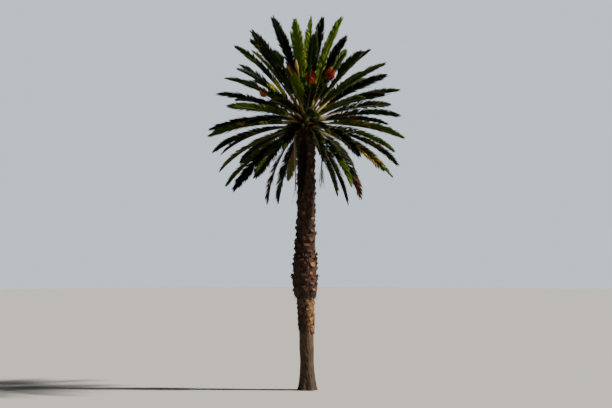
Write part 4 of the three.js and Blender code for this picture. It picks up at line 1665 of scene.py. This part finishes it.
@dataclass
class Fronds:
    """All fronds: ribs, thorns and leaflets.

    Attributes:
        lines: The fronds' curves.
        pairs: Leaflet pairs on a frond.
        rib_widths: Rows of distance from the foot and width.
        rib_depths: Rows of distance from the foot and depth.
        first: Place of the first leaflet.
        last: Place of the last one.
        bend: Place where the clasping foot runs into the rib.
        clasp_drop: Height of the clasping foot.
        spread: Rows of place and angle to the rib.
        half_widths: Rows of place and share of the blade's half width.
        half_width: The blade's half width.
        vee: Rise of the two rows of leaflets, in degrees.
        leaf_width: Width of a leaflet.
        fold: Rise of a leaflet's edges against its half width.
        stations: Rows of place along a leaflet and share of its width there.
        covered: Length of a leaflet that is folded back over a fruit bunch.
        dead_pairs: Share of leaflets left on a dead frond.
        dead_reach: Length of a dead leaflet against a live one.
        dead_width: Width of a dead leaflet against a live one.
        thorns: Thorn pairs on a frond.
        thorn_size: Radius of a thorn's foot.
        thorn_length: Shortest and longest thorn.
        patches: Rows of frond number, first and last place along it, share and tint of leaflets.
        chosen: Tints that are set by frond number.
    """

    lines: list[FrondLine]
    pairs: int = 126
    rib_widths: Rows = (
        (-0.1, 0.16), (0, 0.14), (0.1, 0.1), (0.25, 0.066), (0.5, 0.048), (1.5, 0.03), (3.6, 0.008),
    )
    rib_depths: Rows = ((-0.1, 0.05), (0, 0.056), (0.5, 0.044), (1.5, 0.03), (3.6, 0.008))
    first: float = 0.16
    last: float = 0.985
    bend: float = 0.05
    clasp_drop: float = 0.34
    spread: Rows = ((0.15, 62), (0.3, 50), (0.6, 37), (0.8, 30), (0.93, 20), (1, 8))
    half_widths: Rows = (
        (0, 0.2), (0.15, 0.3), (0.2, 0.6), (0.26, 0.88), (0.36, 1.06), (0.5, 1.04), (0.7, 0.93),
        (0.84, 0.7), (0.93, 0.36), (1, 0.1),
    )
    half_width: float = 0.258
    vee: float = 32
    leaf_width: float = 0.037
    fold: float = 0.34
    stations: Rows = ((0.0, 0.55), (0.3, 1.0), (0.7, 0.72))
    covered: float = 0.16
    dead_pairs: float = 0.62
    dead_reach: float = 0.8
    dead_width: float = 0.7
    thorns: int = 14
    thorn_size: float = 0.0045
    thorn_length: tuple[float, float] = (0.05, 0.13)
    # The lime and gold patches are painted highlights: leaflets set bright where sun catches the fronds
    patches: tuple[Patch, ...] = (
        (12, 0.78, 1.0, 1.0, Tint.GOLD_HIGHLIGHT),
        (7, 0.82, 0.94, 0.6, Tint.GOLD_HIGHLIGHT),
        (15, 0.2, 0.4, 1.0, Tint.LIME_HIGHLIGHT),
        (23, 0.28, 0.5, 1.0, Tint.LIME_HIGHLIGHT),
        (57, 0.48, 0.64, 1.0, Tint.GOLD_HIGHLIGHT),
        (57, 0.29, 0.4, 0.9, Tint.LIME_HIGHLIGHT),
        (65, 0.5, 0.66, 0.5, Tint.FRESH),
        (44, 0.5, 0.7, 0.6, Tint.OLIVE),
        (71, 0.42, 0.95, 0.8, Tint.OLIVE),
        (71, 0.5, 0.9, 0.32, Tint.GOLD_HIGHLIGHT),
        (66, 0.5, 0.7, 0.4, Tint.OLIVE),
        (50, 0.3, 0.58, 0.85, Tint.DRY),
        (45, 0.26, 0.46, 0.7, Tint.DRY),
        (58, 0.4, 0.6, 0.4, Tint.GOLD_HIGHLIGHT),
        (37, 0.3, 0.5, 0.5, Tint.OLIVE),
        (73, 0.5, 0.66, 0.7, Tint.DRY),
        (21, 0.3, 0.5, 0.6, Tint.FRESH),
        (79, 0.72, 1.0, 0.9, Tint.DRY),
        (82, 0.3, 0.6, 0.6, Tint.OLIVE),
    )
    chosen: dict[int, Tint] = field(default_factory=lambda: {
        1: Tint.DEEP, 4: Tint.MID, 13: Tint.DEEP, 81: Tint.HUSK,
        **dict.fromkeys((0, 3, 5, 8), Tint.FRESH),
        **dict.fromkeys((2, 6, 7, 34, 55, 60, 68, 79, 80, 82), Tint.DARK),
    })

    def nodes(self, wanted: Callable[[str], bool]) -> list[str]:
        """Gives the names of the crown's solids that are wanted."""
        return sorted(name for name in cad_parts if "frond" in name and wanted(name))

    def tint(self, line: FrondLine) -> Tint:
        """Deals a frond its tint by its age and number.

        Args:
            line: The frond.

        Returns:
            The tint of its leaflets.
        """
        if line.index in self.chosen:
            return self.chosen[line.index]
        if line.dry:
            return Tint.DRY
        throw = Dice(line.index * 7919 + 5).next()
        if line.age > 0.72:
            return Tint.OLIVE if throw < 0.24 else Tint.MID if throw < 0.5 else Tint.DARK
        if throw < 0.1:
            return Tint.FRESH
        if throw < 0.3:
            return Tint.MID
        return Tint.DARK if throw > 0.66 else Tint.DEEP

    def deal(self, line: FrondLine, place: np.ndarray, rng: np.random.Generator) -> np.ndarray:
        """Deals each leaflet of a frond its tint: the frond's own, its patches and a few dead ones.

        Args:
            line: The frond.
            place: Places of its leaflets along the rib.
            rng: Source of the dead leaflets.

        Returns:
            A number in the order of the tints for each leaflet.
        """
        order = list(Tint)
        found = np.full(len(place), order.index(self.tint(line)))
        throws = rng.uniform(0, 1, len(place))
        for index, low, high, share, tint in self.patches:
            if index == line.index:
                blurred = place + rng.normal(0, 0.02, len(place))
                found[(blurred > low) & (blurred < high) & (throws < share)] = order.index(tint)
        throws = rng.uniform(0, 1, len(place))
        if not line.dry:
            found[throws < 0.01 + 0.07 * max(line.age - 0.5, 0)] = order.index(Tint.DRY)
            found[throws > 0.99 - 0.05 * line.age] = order.index(Tint.OLIVE)
        return found

    def clasp(self, line: FrondLine, stations: int) -> tuple[np.ndarray, ...]:
        """Gives the frames of the sheath that climbs the core and bends out into the rib.

        Args:
            line: The frond.
            stations: Count of its stations.

        Returns:
            Places, sides, normals, widths, depths, and how far the edges bend back round the core.
        """
        _, radius, height = line.curve[0]
        end, _, across, _ = line.frames(np.array([self.bend]))
        low = height - self.clasp_drop * (0.85 + 0.3 * Dice(line.index + 51).next())
        stem = float(along(CORE_OUTLINE, low)) - 0.012
        start = CROWN_AXIS + line.out * stem + UP * low
        control = CROWN_AXIS + line.out * (radius + 0.035) + UP * (height - 0.02)
        t = (np.arange(stations) / stations)[:, None]
        place = bow(start, control, end, t)
        run = unit((1 - t) * (control - start) + t * (end - control))
        side = np.tile(across, (stations, 1))
        normal = np.cross(run, side)
        last = float(along(self.rib_widths, self.bend * line.length))
        width = along(((0, 0.21), (0.25, 0.23), (0.6, 0.17), (0.85, 0.115), (1, last)), t[:, 0])
        depth = along(((0, 0.02), (0.4, 0.05), (0.8, 0.06), (1, 0.05)), t[:, 0])
        return place, side, normal, width, depth, (1 - t[:, 0]) ** 1.5 / 0.8

    def rib(self, line: FrondLine) -> tuple[np.ndarray, np.ndarray, np.ndarray, np.ndarray]:
        """Models one rib as a tube of eight sides, with its clasping foot.

        Args:
            line: The frond.

        Returns:
            Points, faces, and the place of each point along the rib and across it.
        """
        clasped = line.age > CrownRule.dome_share
        q = np.concatenate([[self.bend], np.linspace(0.08, 1.0, 24)])
        if not clasped:
            q = np.concatenate([[-0.04, -0.01, 0.02], q])
        place, _, side, normal = line.frames(q)
        width = along(self.rib_widths, q * line.length)
        depth = along(self.rib_depths, q * line.length)
        wrap = np.zeros(len(q))
        if clasped:
            parts = self.clasp(line, 6)
            mine = (place, side, normal, width, depth, wrap)
            place, side, normal, width, depth, wrap = (np.concatenate(pair) for pair in zip(parts, mine))
            q = np.concatenate([np.linspace(-0.09, 0.03, 6), q])
        if line.dry:
            width = width * 0.8
        across = RIB_SECTION[:, 0] * width[:, None]
        deep = RIB_SECTION[:, 1] * depth[:, None]
        raised = deep + wrap[:, None] * across**2 / 0.4
        points = place[:, None] + side[:, None] * across[..., None] + normal[:, None] * raised[..., None]
        sides = len(RIB_SECTION)
        faces = np.concatenate([walls(len(q), sides), RIB_FOOT, RIB_TIP + (len(q) - 1) * sides])
        wide = (across + deep * 0.6).ravel() + line.index * 0.7
        return points.reshape(-1, 3), faces, np.repeat(q, sides), wide

    def blades(
        self, line: FrondLine, rng: np.random.Generator
    ) -> tuple[np.ndarray, np.ndarray, np.ndarray]:
        """Grows the leaflets of one frond as thin folded blades.

        Args:
            line: The frond.
            rng: Source of their small differences.

        Returns:
            Points of each leaflet, the faces of one, and the tint of each.
        """
        dead = self.tint(line) in DEAD
        pairs = int(self.pairs * (self.dead_pairs if dead else 1))
        place = np.repeat(np.linspace(self.first, self.last, pairs), 2)
        sign = np.tile([1.0, -1.0], pairs)
        q = clip(place + rng.uniform(-0.25, 0.25, len(place)) / pairs)
        base, run, side, normal = line.frames(q)
        angle = np.radians(along(self.spread, q) + rng.normal(0, 3.5, len(q)))
        vee = np.radians(self.vee + rng.normal(0, 20 if dead else 9, len(q)))
        reach = along(self.half_widths, q) * self.half_width / np.sin(np.radians(along(self.spread, q)))
        reach += 0.05 * clip((q - 0.86) / 0.14) * clip(1 - line.age / 0.2)
        reach *= rng.uniform(0.86, 1.04, len(q)) * (self.dead_reach if dead else 1)
        width = along(self.rib_widths, q * line.length)
        away = (sign * np.cos(vee))[:, None] * side + np.sin(vee)[:, None] * normal
        along_leaf = np.cos(angle)[:, None] * run + np.sin(angle)[:, None] * away
        face = np.cross(run, away) * sign[:, None]
        roll = rng.normal(0, 0.3, len(q))[:, None]
        across = np.cross(face, along_leaf)
        normal_leaf = face * np.cos(roll) + across * np.sin(roll)
        base = base + side * (sign * width * 0.4)[:, None]
        over = np.zeros(len(q), bool)
        for plan in BUNCHES:
            for share in (0.2, 0.5, 0.85):
                over |= plan.hides(base + along_leaf * (reach * share)[:, None])
        close = run * math.cos(0.13) + away * math.sin(0.13)
        along_leaf = np.where(over[:, None], close, along_leaf)
        reach = np.where(over, np.minimum(reach, self.covered), reach)
        across = unit(np.cross(normal_leaf, along_leaf))
        sag = (0.05 + 0.1 * line.age + (0.12 if dead else 0)) * reach
        wide = self.leaf_width * rng.uniform(0.85, 1.15, len(q)) * (self.dead_width if dead else 1)
        wide *= 1 + 0.22 * clip((q - 0.35) / 0.3) + 0.3 * clip(1 - line.age / 0.25)
        rings = []
        for t, share in self.stations:
            middle = base + along_leaf * (reach * t)[:, None]
            middle[:, 2] -= sag * t * t
            half = (wide * share / 2)[:, None]
            rise = normal_leaf * (half * self.fold)
            rings += [
                middle + across * half + rise, middle + normal_leaf * 0.0008,
                middle - across * half + rise, middle - normal_leaf * 0.0022,
            ]
        tip = base + along_leaf * reach[:, None]
        tip[:, 2] -= sag
        faces = walls(3, 4).tolist() + [(8 + k, 8 + (k + 1) % 4, 12, -1) for k in range(4)] + [(3, 2, 1, 0)]
        return np.stack([*rings, tip], 1), np.array(faces), self.deal(line, q, rng)

    def spikes(self, line: FrondLine, rng: np.random.Generator) -> tuple[np.ndarray, np.ndarray]:
        """Grows the thorns along the foot of one frond.

        Args:
            line: The frond.
            rng: Source of their small differences.

        Returns:
            Points of each thorn and the faces of one.
        """
        count = self.thorns
        q = np.repeat(np.linspace(0.055, self.first + 0.03, count), 2)
        sign = np.tile([1.0, -1.0], count)
        base, run, side, normal = line.frames(q)
        width = along(self.rib_widths, q * line.length)
        angle = np.radians(rng.uniform(42, 70, len(q)))
        rise = np.radians(rng.uniform(0, 45, len(q)))
        away = (sign * np.cos(rise))[:, None] * side + np.sin(rise)[:, None] * normal
        point = np.cos(angle)[:, None] * run + np.sin(angle)[:, None] * away
        across = unit(np.cross(normal, point)) * self.thorn_size
        third = np.cross(point, across) * 0.87
        base = base + side * (sign * width * 0.42)[:, None]
        tip = base + point * rng.uniform(*self.thorn_length, len(q))[:, None]
        back = base - across * 0.5
        points = np.stack([base + across, back + third, back - third, tip], 1)
        return points, np.array([(0, 1, 3, -1), (1, 2, 3, -1), (2, 0, 3, -1), (2, 1, 0, -1)])

    def build(self) -> None:
        """Builds ribs, thorns and leaflets, each kind apart."""
        green_nodes = self.nodes(lambda name: name.startswith("frond"))
        young_nodes = self.nodes(lambda name: name.startswith("young"))
        dry_nodes = self.nodes(lambda name: name.startswith("dry"))
        rng = np.random.default_rng(2024)
        ribs = {False: Skin(), True: Skin()}
        thorns = {False: Skin(), True: Skin()}
        leaves: dict[Tint, Skin] = {tint: Skin() for tint in Tint}
        reach = np.repeat([*(t for t, _ in self.stations), 1], [4, 4, 4, 1])
        for line in self.lines:
            points, faces, run, across = self.rib(line)
            # Painted light: rib feet on the sunlit right are paler, those on the left duller; older fronds
            # have duller feet
            paling = 0.45 * math.cos(line.azimuth) - 0.6 * max(line.age - 0.4, 0)
            pale = min(max(Dice(line.index * 613 + 9).next() ** 1.2 + paling, 0), 1)
            ribs[line.dry].add(points, faces, run=run, pale=pale, across=across)
            thorns[line.dry].repeat(*self.spikes(line, rng))
            points, faces, tints = self.blades(line, rng)
            shades = rng.uniform(0, 1, (len(points), 1))
            for number, tint in enumerate(Tint):
                picked = tints == number
                if picked.any():
                    leaves[tint].repeat(points[picked], faces, shade=shades[picked], reach=reach)
        finish(ribs[False].build("ribs", 60), RIB_GREEN.material(), green_nodes + young_nodes)
        finish(ribs[True].build("dry_ribs", 60), RIB_DRY.material(), dry_nodes)
        finish(thorns[False].build("thorns"), THORN.material(), [])
        finish(thorns[True].build("dry_thorns"), Tint.DRY.value.material(), [])
        for tint, skin in leaves.items():
            if not skin.count:
                continue
            thing = skin.build("leaflets_" + tint.name.lower())
            dead = tint in DEAD
            names = dry_nodes if dead else young_nodes if tint is Tint.FRESH else green_nodes
            if tint is Tint.DARK:
                names = green_nodes + dry_nodes
            finish(thing, tint.value.material(), names)


@dataclass
class FruitBunches:
    """Fruit bunches: a stalk each, strands that fan out from its end, and a date on each place of a strand.

    Attributes:
        plans: Where they are.
        strands: Strands of a bunch.
        fruits: Fruits on a strand.
        fruit_size: Width and length of a fruit.
        golden: Turn from one strand to the next, in radians.
        stalk: Radius of a stalk at its foot and end.
        strand: Radius of a strand at its root and tip.
        hook: Radius of the sheath's stalk at its foot and end.
        sheath_shift: Place of the sheath beside the fruit's middle.
        sheath_width: Largest half width of the sheath.
        sheath_outline: Rows of place along the sheath and share of its half width.
        sheath_mouth: Rows of place along the sheath and half turn that its wall covers, in radians.
        sheath_wall: Inner radius of its wall against the outer one.
        pattern: The model of one fruit.
    """

    plans: tuple[BunchPlan, ...] = BUNCHES
    strands: int = 38
    fruits: int = 12
    fruit_size: tuple[float, float] = (0.032, 0.046)
    golden: float = 2.39996
    stalk: tuple[float, float] = (0.026, 0.016)
    strand: tuple[float, float] = (0.0045, 0.0022)
    hook: tuple[float, float] = (0.01, 0.016)
    sheath_shift: Triple = (0.24, -0.08, 0.2)
    sheath_width: float = 0.062
    sheath_outline: Rows = (
        (-0.5, 0.26), (-0.36, 0.62), (-0.1, 1), (0.12, 0.96), (0.32, 0.6), (0.45, 0.22), (0.5, 0.04),
    )
    sheath_mouth: Rows = ((-0.5, 2.9), (-0.3, 2.3), (0.1, 1.75), (0.5, 1.5))
    sheath_wall: float = 0.87
    pattern: Pattern = field(init=False)

    def fruit_pattern(self) -> Pattern:
        """Models one fruit about the origin, long along z.

        Returns:
            The fruit.
        """
        bpy.ops.object.select_all(action="DESELECT")
        bpy.ops.mesh.primitive_uv_sphere_add(segments=6, ring_count=5, radius=0.5)
        bench = Bench.taken("fruit")
        bench.edit(lambda face: True)
        wide, tall = self.fruit_size
        bpy.ops.transform.resize(value=(wide, wide, tall))
        return Pattern.of(bench.done())

    def hang(
        self, plan: BunchPlan, rng: np.random.Generator, stalks: Skin, sheaths: Skin, fruit: Skin
    ) -> None:
        """Grows one bunch.

        Args:
            plan: Where it hangs.
            rng: Source of small differences.
            stalks: Gathers its stalk and strands.
            sheaths: Gathers its sheath.
            fruit: Gathers its fruits.
        """
        middle = np.array(plan.middle)
        away = unit(middle - CROWN_AXIS - UP * CROWN_MIDDLE)
        lean = unit(away * 0.6 + UP * 0.4)
        side = unit(np.cross(UP, lean))
        front = np.cross(lean, side)
        radius = float(along(CORE_OUTLINE, plan.height))
        turn = math.radians(plan.azimuth)
        start = np.array([CROWN_SHIFT + radius * math.cos(turn), radius * math.sin(turn), plan.height])
        end = middle - lean * plan.tall * 0.44
        path = bow(start, (start + end) / 2 + np.array(plan.bow), end, np.linspace(-0.06, 1, 16)[:, None])
        stalks.add(*tube(path, np.linspace(*self.stalk, 16), 8))
        for strand in range(self.strands):
            spin = strand * self.golden
            opened = math.sqrt((strand + 0.5) / self.strands)
            fan = (math.cos(spin) * side + math.sin(spin) * front) * plan.width * 0.5 * opened
            rise = 0.5 - 0.42 * opened * opened + rng.uniform(-0.05, 0.03)
            tip = middle + fan * 0.86 + lean * plan.tall * rise
            knee = end + fan * 1.02 + lean * plan.tall * 0.22
            thread = bow(end, knee, tip, np.linspace(0, 1, 9)[:, None])
            stalks.add(*tube(thread, np.linspace(*self.strand, 9), 4))
            self.string(fruit, end, knee, tip, rng)
        if plan.sheath:
            place = middle + np.array(self.sheath_shift)
            points, faces, shade = self.sheath(place, lean, -side, -front, plan.sheath)
            sheaths.add(points, faces, shade=shade)
            foot = place - (lean * 0.49 - front * 0.1) * plan.sheath
            bend = foot - lean * 0.22 + front * 0.06
            hook = bow(path[5], bend, foot, np.linspace(0, 1, 12)[:, None])
            sheaths.add(*tube(hook, np.linspace(*self.hook, 12), 8), shade=0.1)

    def string(
        self, fruit: Skin, root: np.ndarray, knee: np.ndarray, tip: np.ndarray, rng: np.random.Generator
    ) -> None:
        """Sets the fruits of one strand.

        Args:
            fruit: Gathers the fruits.
            root: Where the strand starts.
            knee: What its curve is pulled by.
            tip: Where it ends.
            rng: Source of small differences.
        """
        for n in range(self.fruits):
            t = 0.22 + 0.78 * (n + rng.uniform(0.1, 0.9)) / self.fruits
            skew = unit(rng.normal(0, 1, 3))
            long = unit(tip - knee + skew * 0.12)
            wide = unit(np.cross(long, skew))
            axes = np.stack([wide, np.cross(long, wide), long])
            turned = (self.pattern.points * rng.uniform(0.82, 1.12)) @ axes
            place = bow(root, knee, tip, t) + skew * 0.016
            fruit.add(place + turned, self.pattern.faces, shade=rng.uniform(0, 1))

    def build(self) -> None:
        """Builds stalks, strands, sheath and fruit, each kind apart."""
        rng = np.random.default_rng(77)
        self.pattern = self.fruit_pattern()
        stalks = Skin()
        sheaths = Skin()
        fruit: dict[Kind, Skin] = {}
        for plan in self.plans:
            self.hang(plan, rng, stalks, sheaths, fruit.setdefault(plan.kind, Skin()))
        nodes = sorted(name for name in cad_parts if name.startswith("fruit"))
        finish(stalks.build("fruit_stalks", 50), STALK.material(), nodes)
        finish(sheaths.build("fruit_sheath", 60), SHEATH.material(), [])
        for kind, skin in fruit.items():
            finish(skin.build("fruit_" + kind.name.lower(), 70), kind.value.material(), nodes)

    def sheath(
        self, middle: np.ndarray, lean: np.ndarray, side: np.ndarray, front: np.ndarray, tall: float
    ) -> tuple[np.ndarray, np.ndarray, np.ndarray]:
        """Models the boat-shaped sheath of a bunch.

        Args:
            middle: Its middle.
            lean: Its long direction.
            side: Across it.
            front: The way its open side faces.
            tall: Its length.

        Returns:
            Points, faces and the lightness of each point: dark outside, pale at the lips of its open side,
            and darker down the middle inside as painted shade.
        """
        t = np.linspace(-0.5, 0.5, 26)
        half = self.sheath_width * along(self.sheath_outline, t)
        opened = along(self.sheath_mouth, t)
        turns = np.linspace(-1, 1, 17)
        outer = []
        for place, size, wide in zip(t, half, opened):
            spot = middle + lean * place * tall - front * 0.42 * place**2 * tall
            wall = []
            for share, arc in ((1, turns), (self.sheath_wall, turns[::-1])):
                for a in arc * wide - 0.35:
                    grown = size * share * (1 + 0.03 * math.cos(a * 11 + place * 5))
                    wall.append(spot + (side * math.sin(a) - front * math.cos(a)) * grown)
            outer.append(np.array(wall))
        ring = len(outer[0])
        # Painted shade: the inside is darker down its middle and paler at the lips; the darker outside with
        # fine stripes is its own colour
        inside = 0.35 + 0.8 * np.abs(turns) ** 2 + 0.18 * np.cos(turns * 31)
        shade = np.tile(np.concatenate([-0.5 + 0.25 * np.cos(turns * 27), inside]), len(t))
        points = np.concatenate(outer)
        faces = walls(len(t), ring)[:, [0, 3, 2, 1]].tolist()
        end = (len(t) - 1) * ring
        for k in range(len(turns) - 1):
            faces.append((k, k + 1, ring - 2 - k, ring - 1 - k))
            faces.append((end + k + 1, end + k, end + ring - 1 - k, end + ring - 2 - k))
        return points, np.array(faces), shade


@dataclass
class Studio:
    """Floor, light and camera.

    Attributes:
        distance: How far the camera stands from the stem.
        eye: Height of the camera.
        aim: Height it looks at.
        lens: Its lens on a 36 mm sensor.
        glow: Strength of the sky as a light.
        backdrop: Strength of the sky as it is seen.
        floor_radius: Radius of the floor.
        suns: Rows of a lamp's name, strength, angle it fills, rise, direction and colour.
    """

    distance: float = 60.0
    eye: float = 6.1
    aim: float = 6.62
    lens: float = 99.0
    glow: float = 0.1
    backdrop: float = 1.0
    floor_radius: float = 90
    suns: tuple[tuple[str, float, float, float, float, Colour], ...] = (
        ("key", 9.2, 4.0, 38.0, -4.0, (1.0, 0.94, 0.84)),
        ("fill", 0.08, 50.0, 24.0, -100.0, (0.94, 0.96, 1.0)),
    )

    def floor(self) -> None:
        """Lays a wide pale disc."""
        bpy.ops.object.select_all(action="DESELECT")
        bpy.ops.mesh.primitive_circle_add(
            vertices=96, radius=self.floor_radius, fill_type="NGON", location=(0, 0, -0.002)
        )
        thing = bpy.context.active_object
        thing.name = "floor"
        made, nodes, shader = Nodes.material("floor")
        nodes.feed(shader, "Base Color", (0.42, 0.42, 0.41))
        nodes.feed(shader, "Roughness", 0.9)
        thing.data.materials.append(made)

    def light(self) -> None:
        """Hangs a sun at the right, a weak one in front and a pale sky all round."""
        for name, energy, size, rise, turn, colour in self.suns:
            data = bpy.data.lights.new(name, "SUN")
            data.energy = energy
            data.angle = math.radians(size)
            data.color = colour
            lamp = bpy.data.objects.new(name, data)
            bpy.context.scene.collection.objects.link(lamp)
            level = math.cos(math.radians(rise))
            across = level * math.cos(math.radians(turn))
            direction = Vector((across, level * math.sin(math.radians(turn)), math.sin(math.radians(rise))))
            lamp.location = direction * 30
            lamp.rotation_euler = direction.to_track_quat("Z", "Y").to_euler()
        world = bpy.data.worlds.new("sky")
        world.use_nodes = True
        tree = world.node_tree
        nodes = Nodes(tree)
        glow = tree.nodes["Background"]
        nodes.feed(glow, "Color", (0.86, 0.89, 0.92))
        nodes.feed(glow, "Strength", self.glow)
        seen = nodes.put("ShaderNodeBackground", Color=(0.74, 0.84, 0.94), Strength=self.backdrop)
        mix = nodes.put("ShaderNodeMixShader")
        tree.links.new(nodes.put("ShaderNodeLightPath").outputs["Is Camera Ray"], mix.inputs[0])
        tree.links.new(glow.outputs[0], mix.inputs[1])
        tree.links.new(seen.outputs[0], mix.inputs[2])
        tree.links.new(mix.outputs[0], tree.nodes["World Output"].inputs["Surface"])
        bpy.context.scene.world = world

    def camera(self) -> None:
        """Sets the camera at the photograph's viewing angle."""
        data = bpy.data.cameras.new("camera")
        data.lens = self.lens
        data.clip_end = 400
        camera = bpy.data.objects.new("camera", data)
        bpy.context.scene.collection.objects.link(camera)
        camera.location = (0, -self.distance, self.eye)
        aim = Vector((CROWN_SHIFT, 0, self.aim)) - camera.location
        camera.rotation_euler = aim.to_track_quat("-Z", "Y").to_euler()
        bpy.context.scene.camera = camera

    def build(self) -> None:
        """Builds the studio."""
        self.floor()
        self.light()
        self.camera()


def main() -> None:
    """Builds the studio and then the palm from the ground up."""
    logging.basicConfig(level=logging.INFO, format="%(name)s %(message)s")
    Studio().build()
    stem = Stem()
    stem.bare()
    stem.underlay()
    LeafBases().build()
    Fibres().build()
    OldStalks().build()
    Fronds(CrownRule().grow()).build()
    FruitBunches().build()


if __name__ == "__main__":
    main()
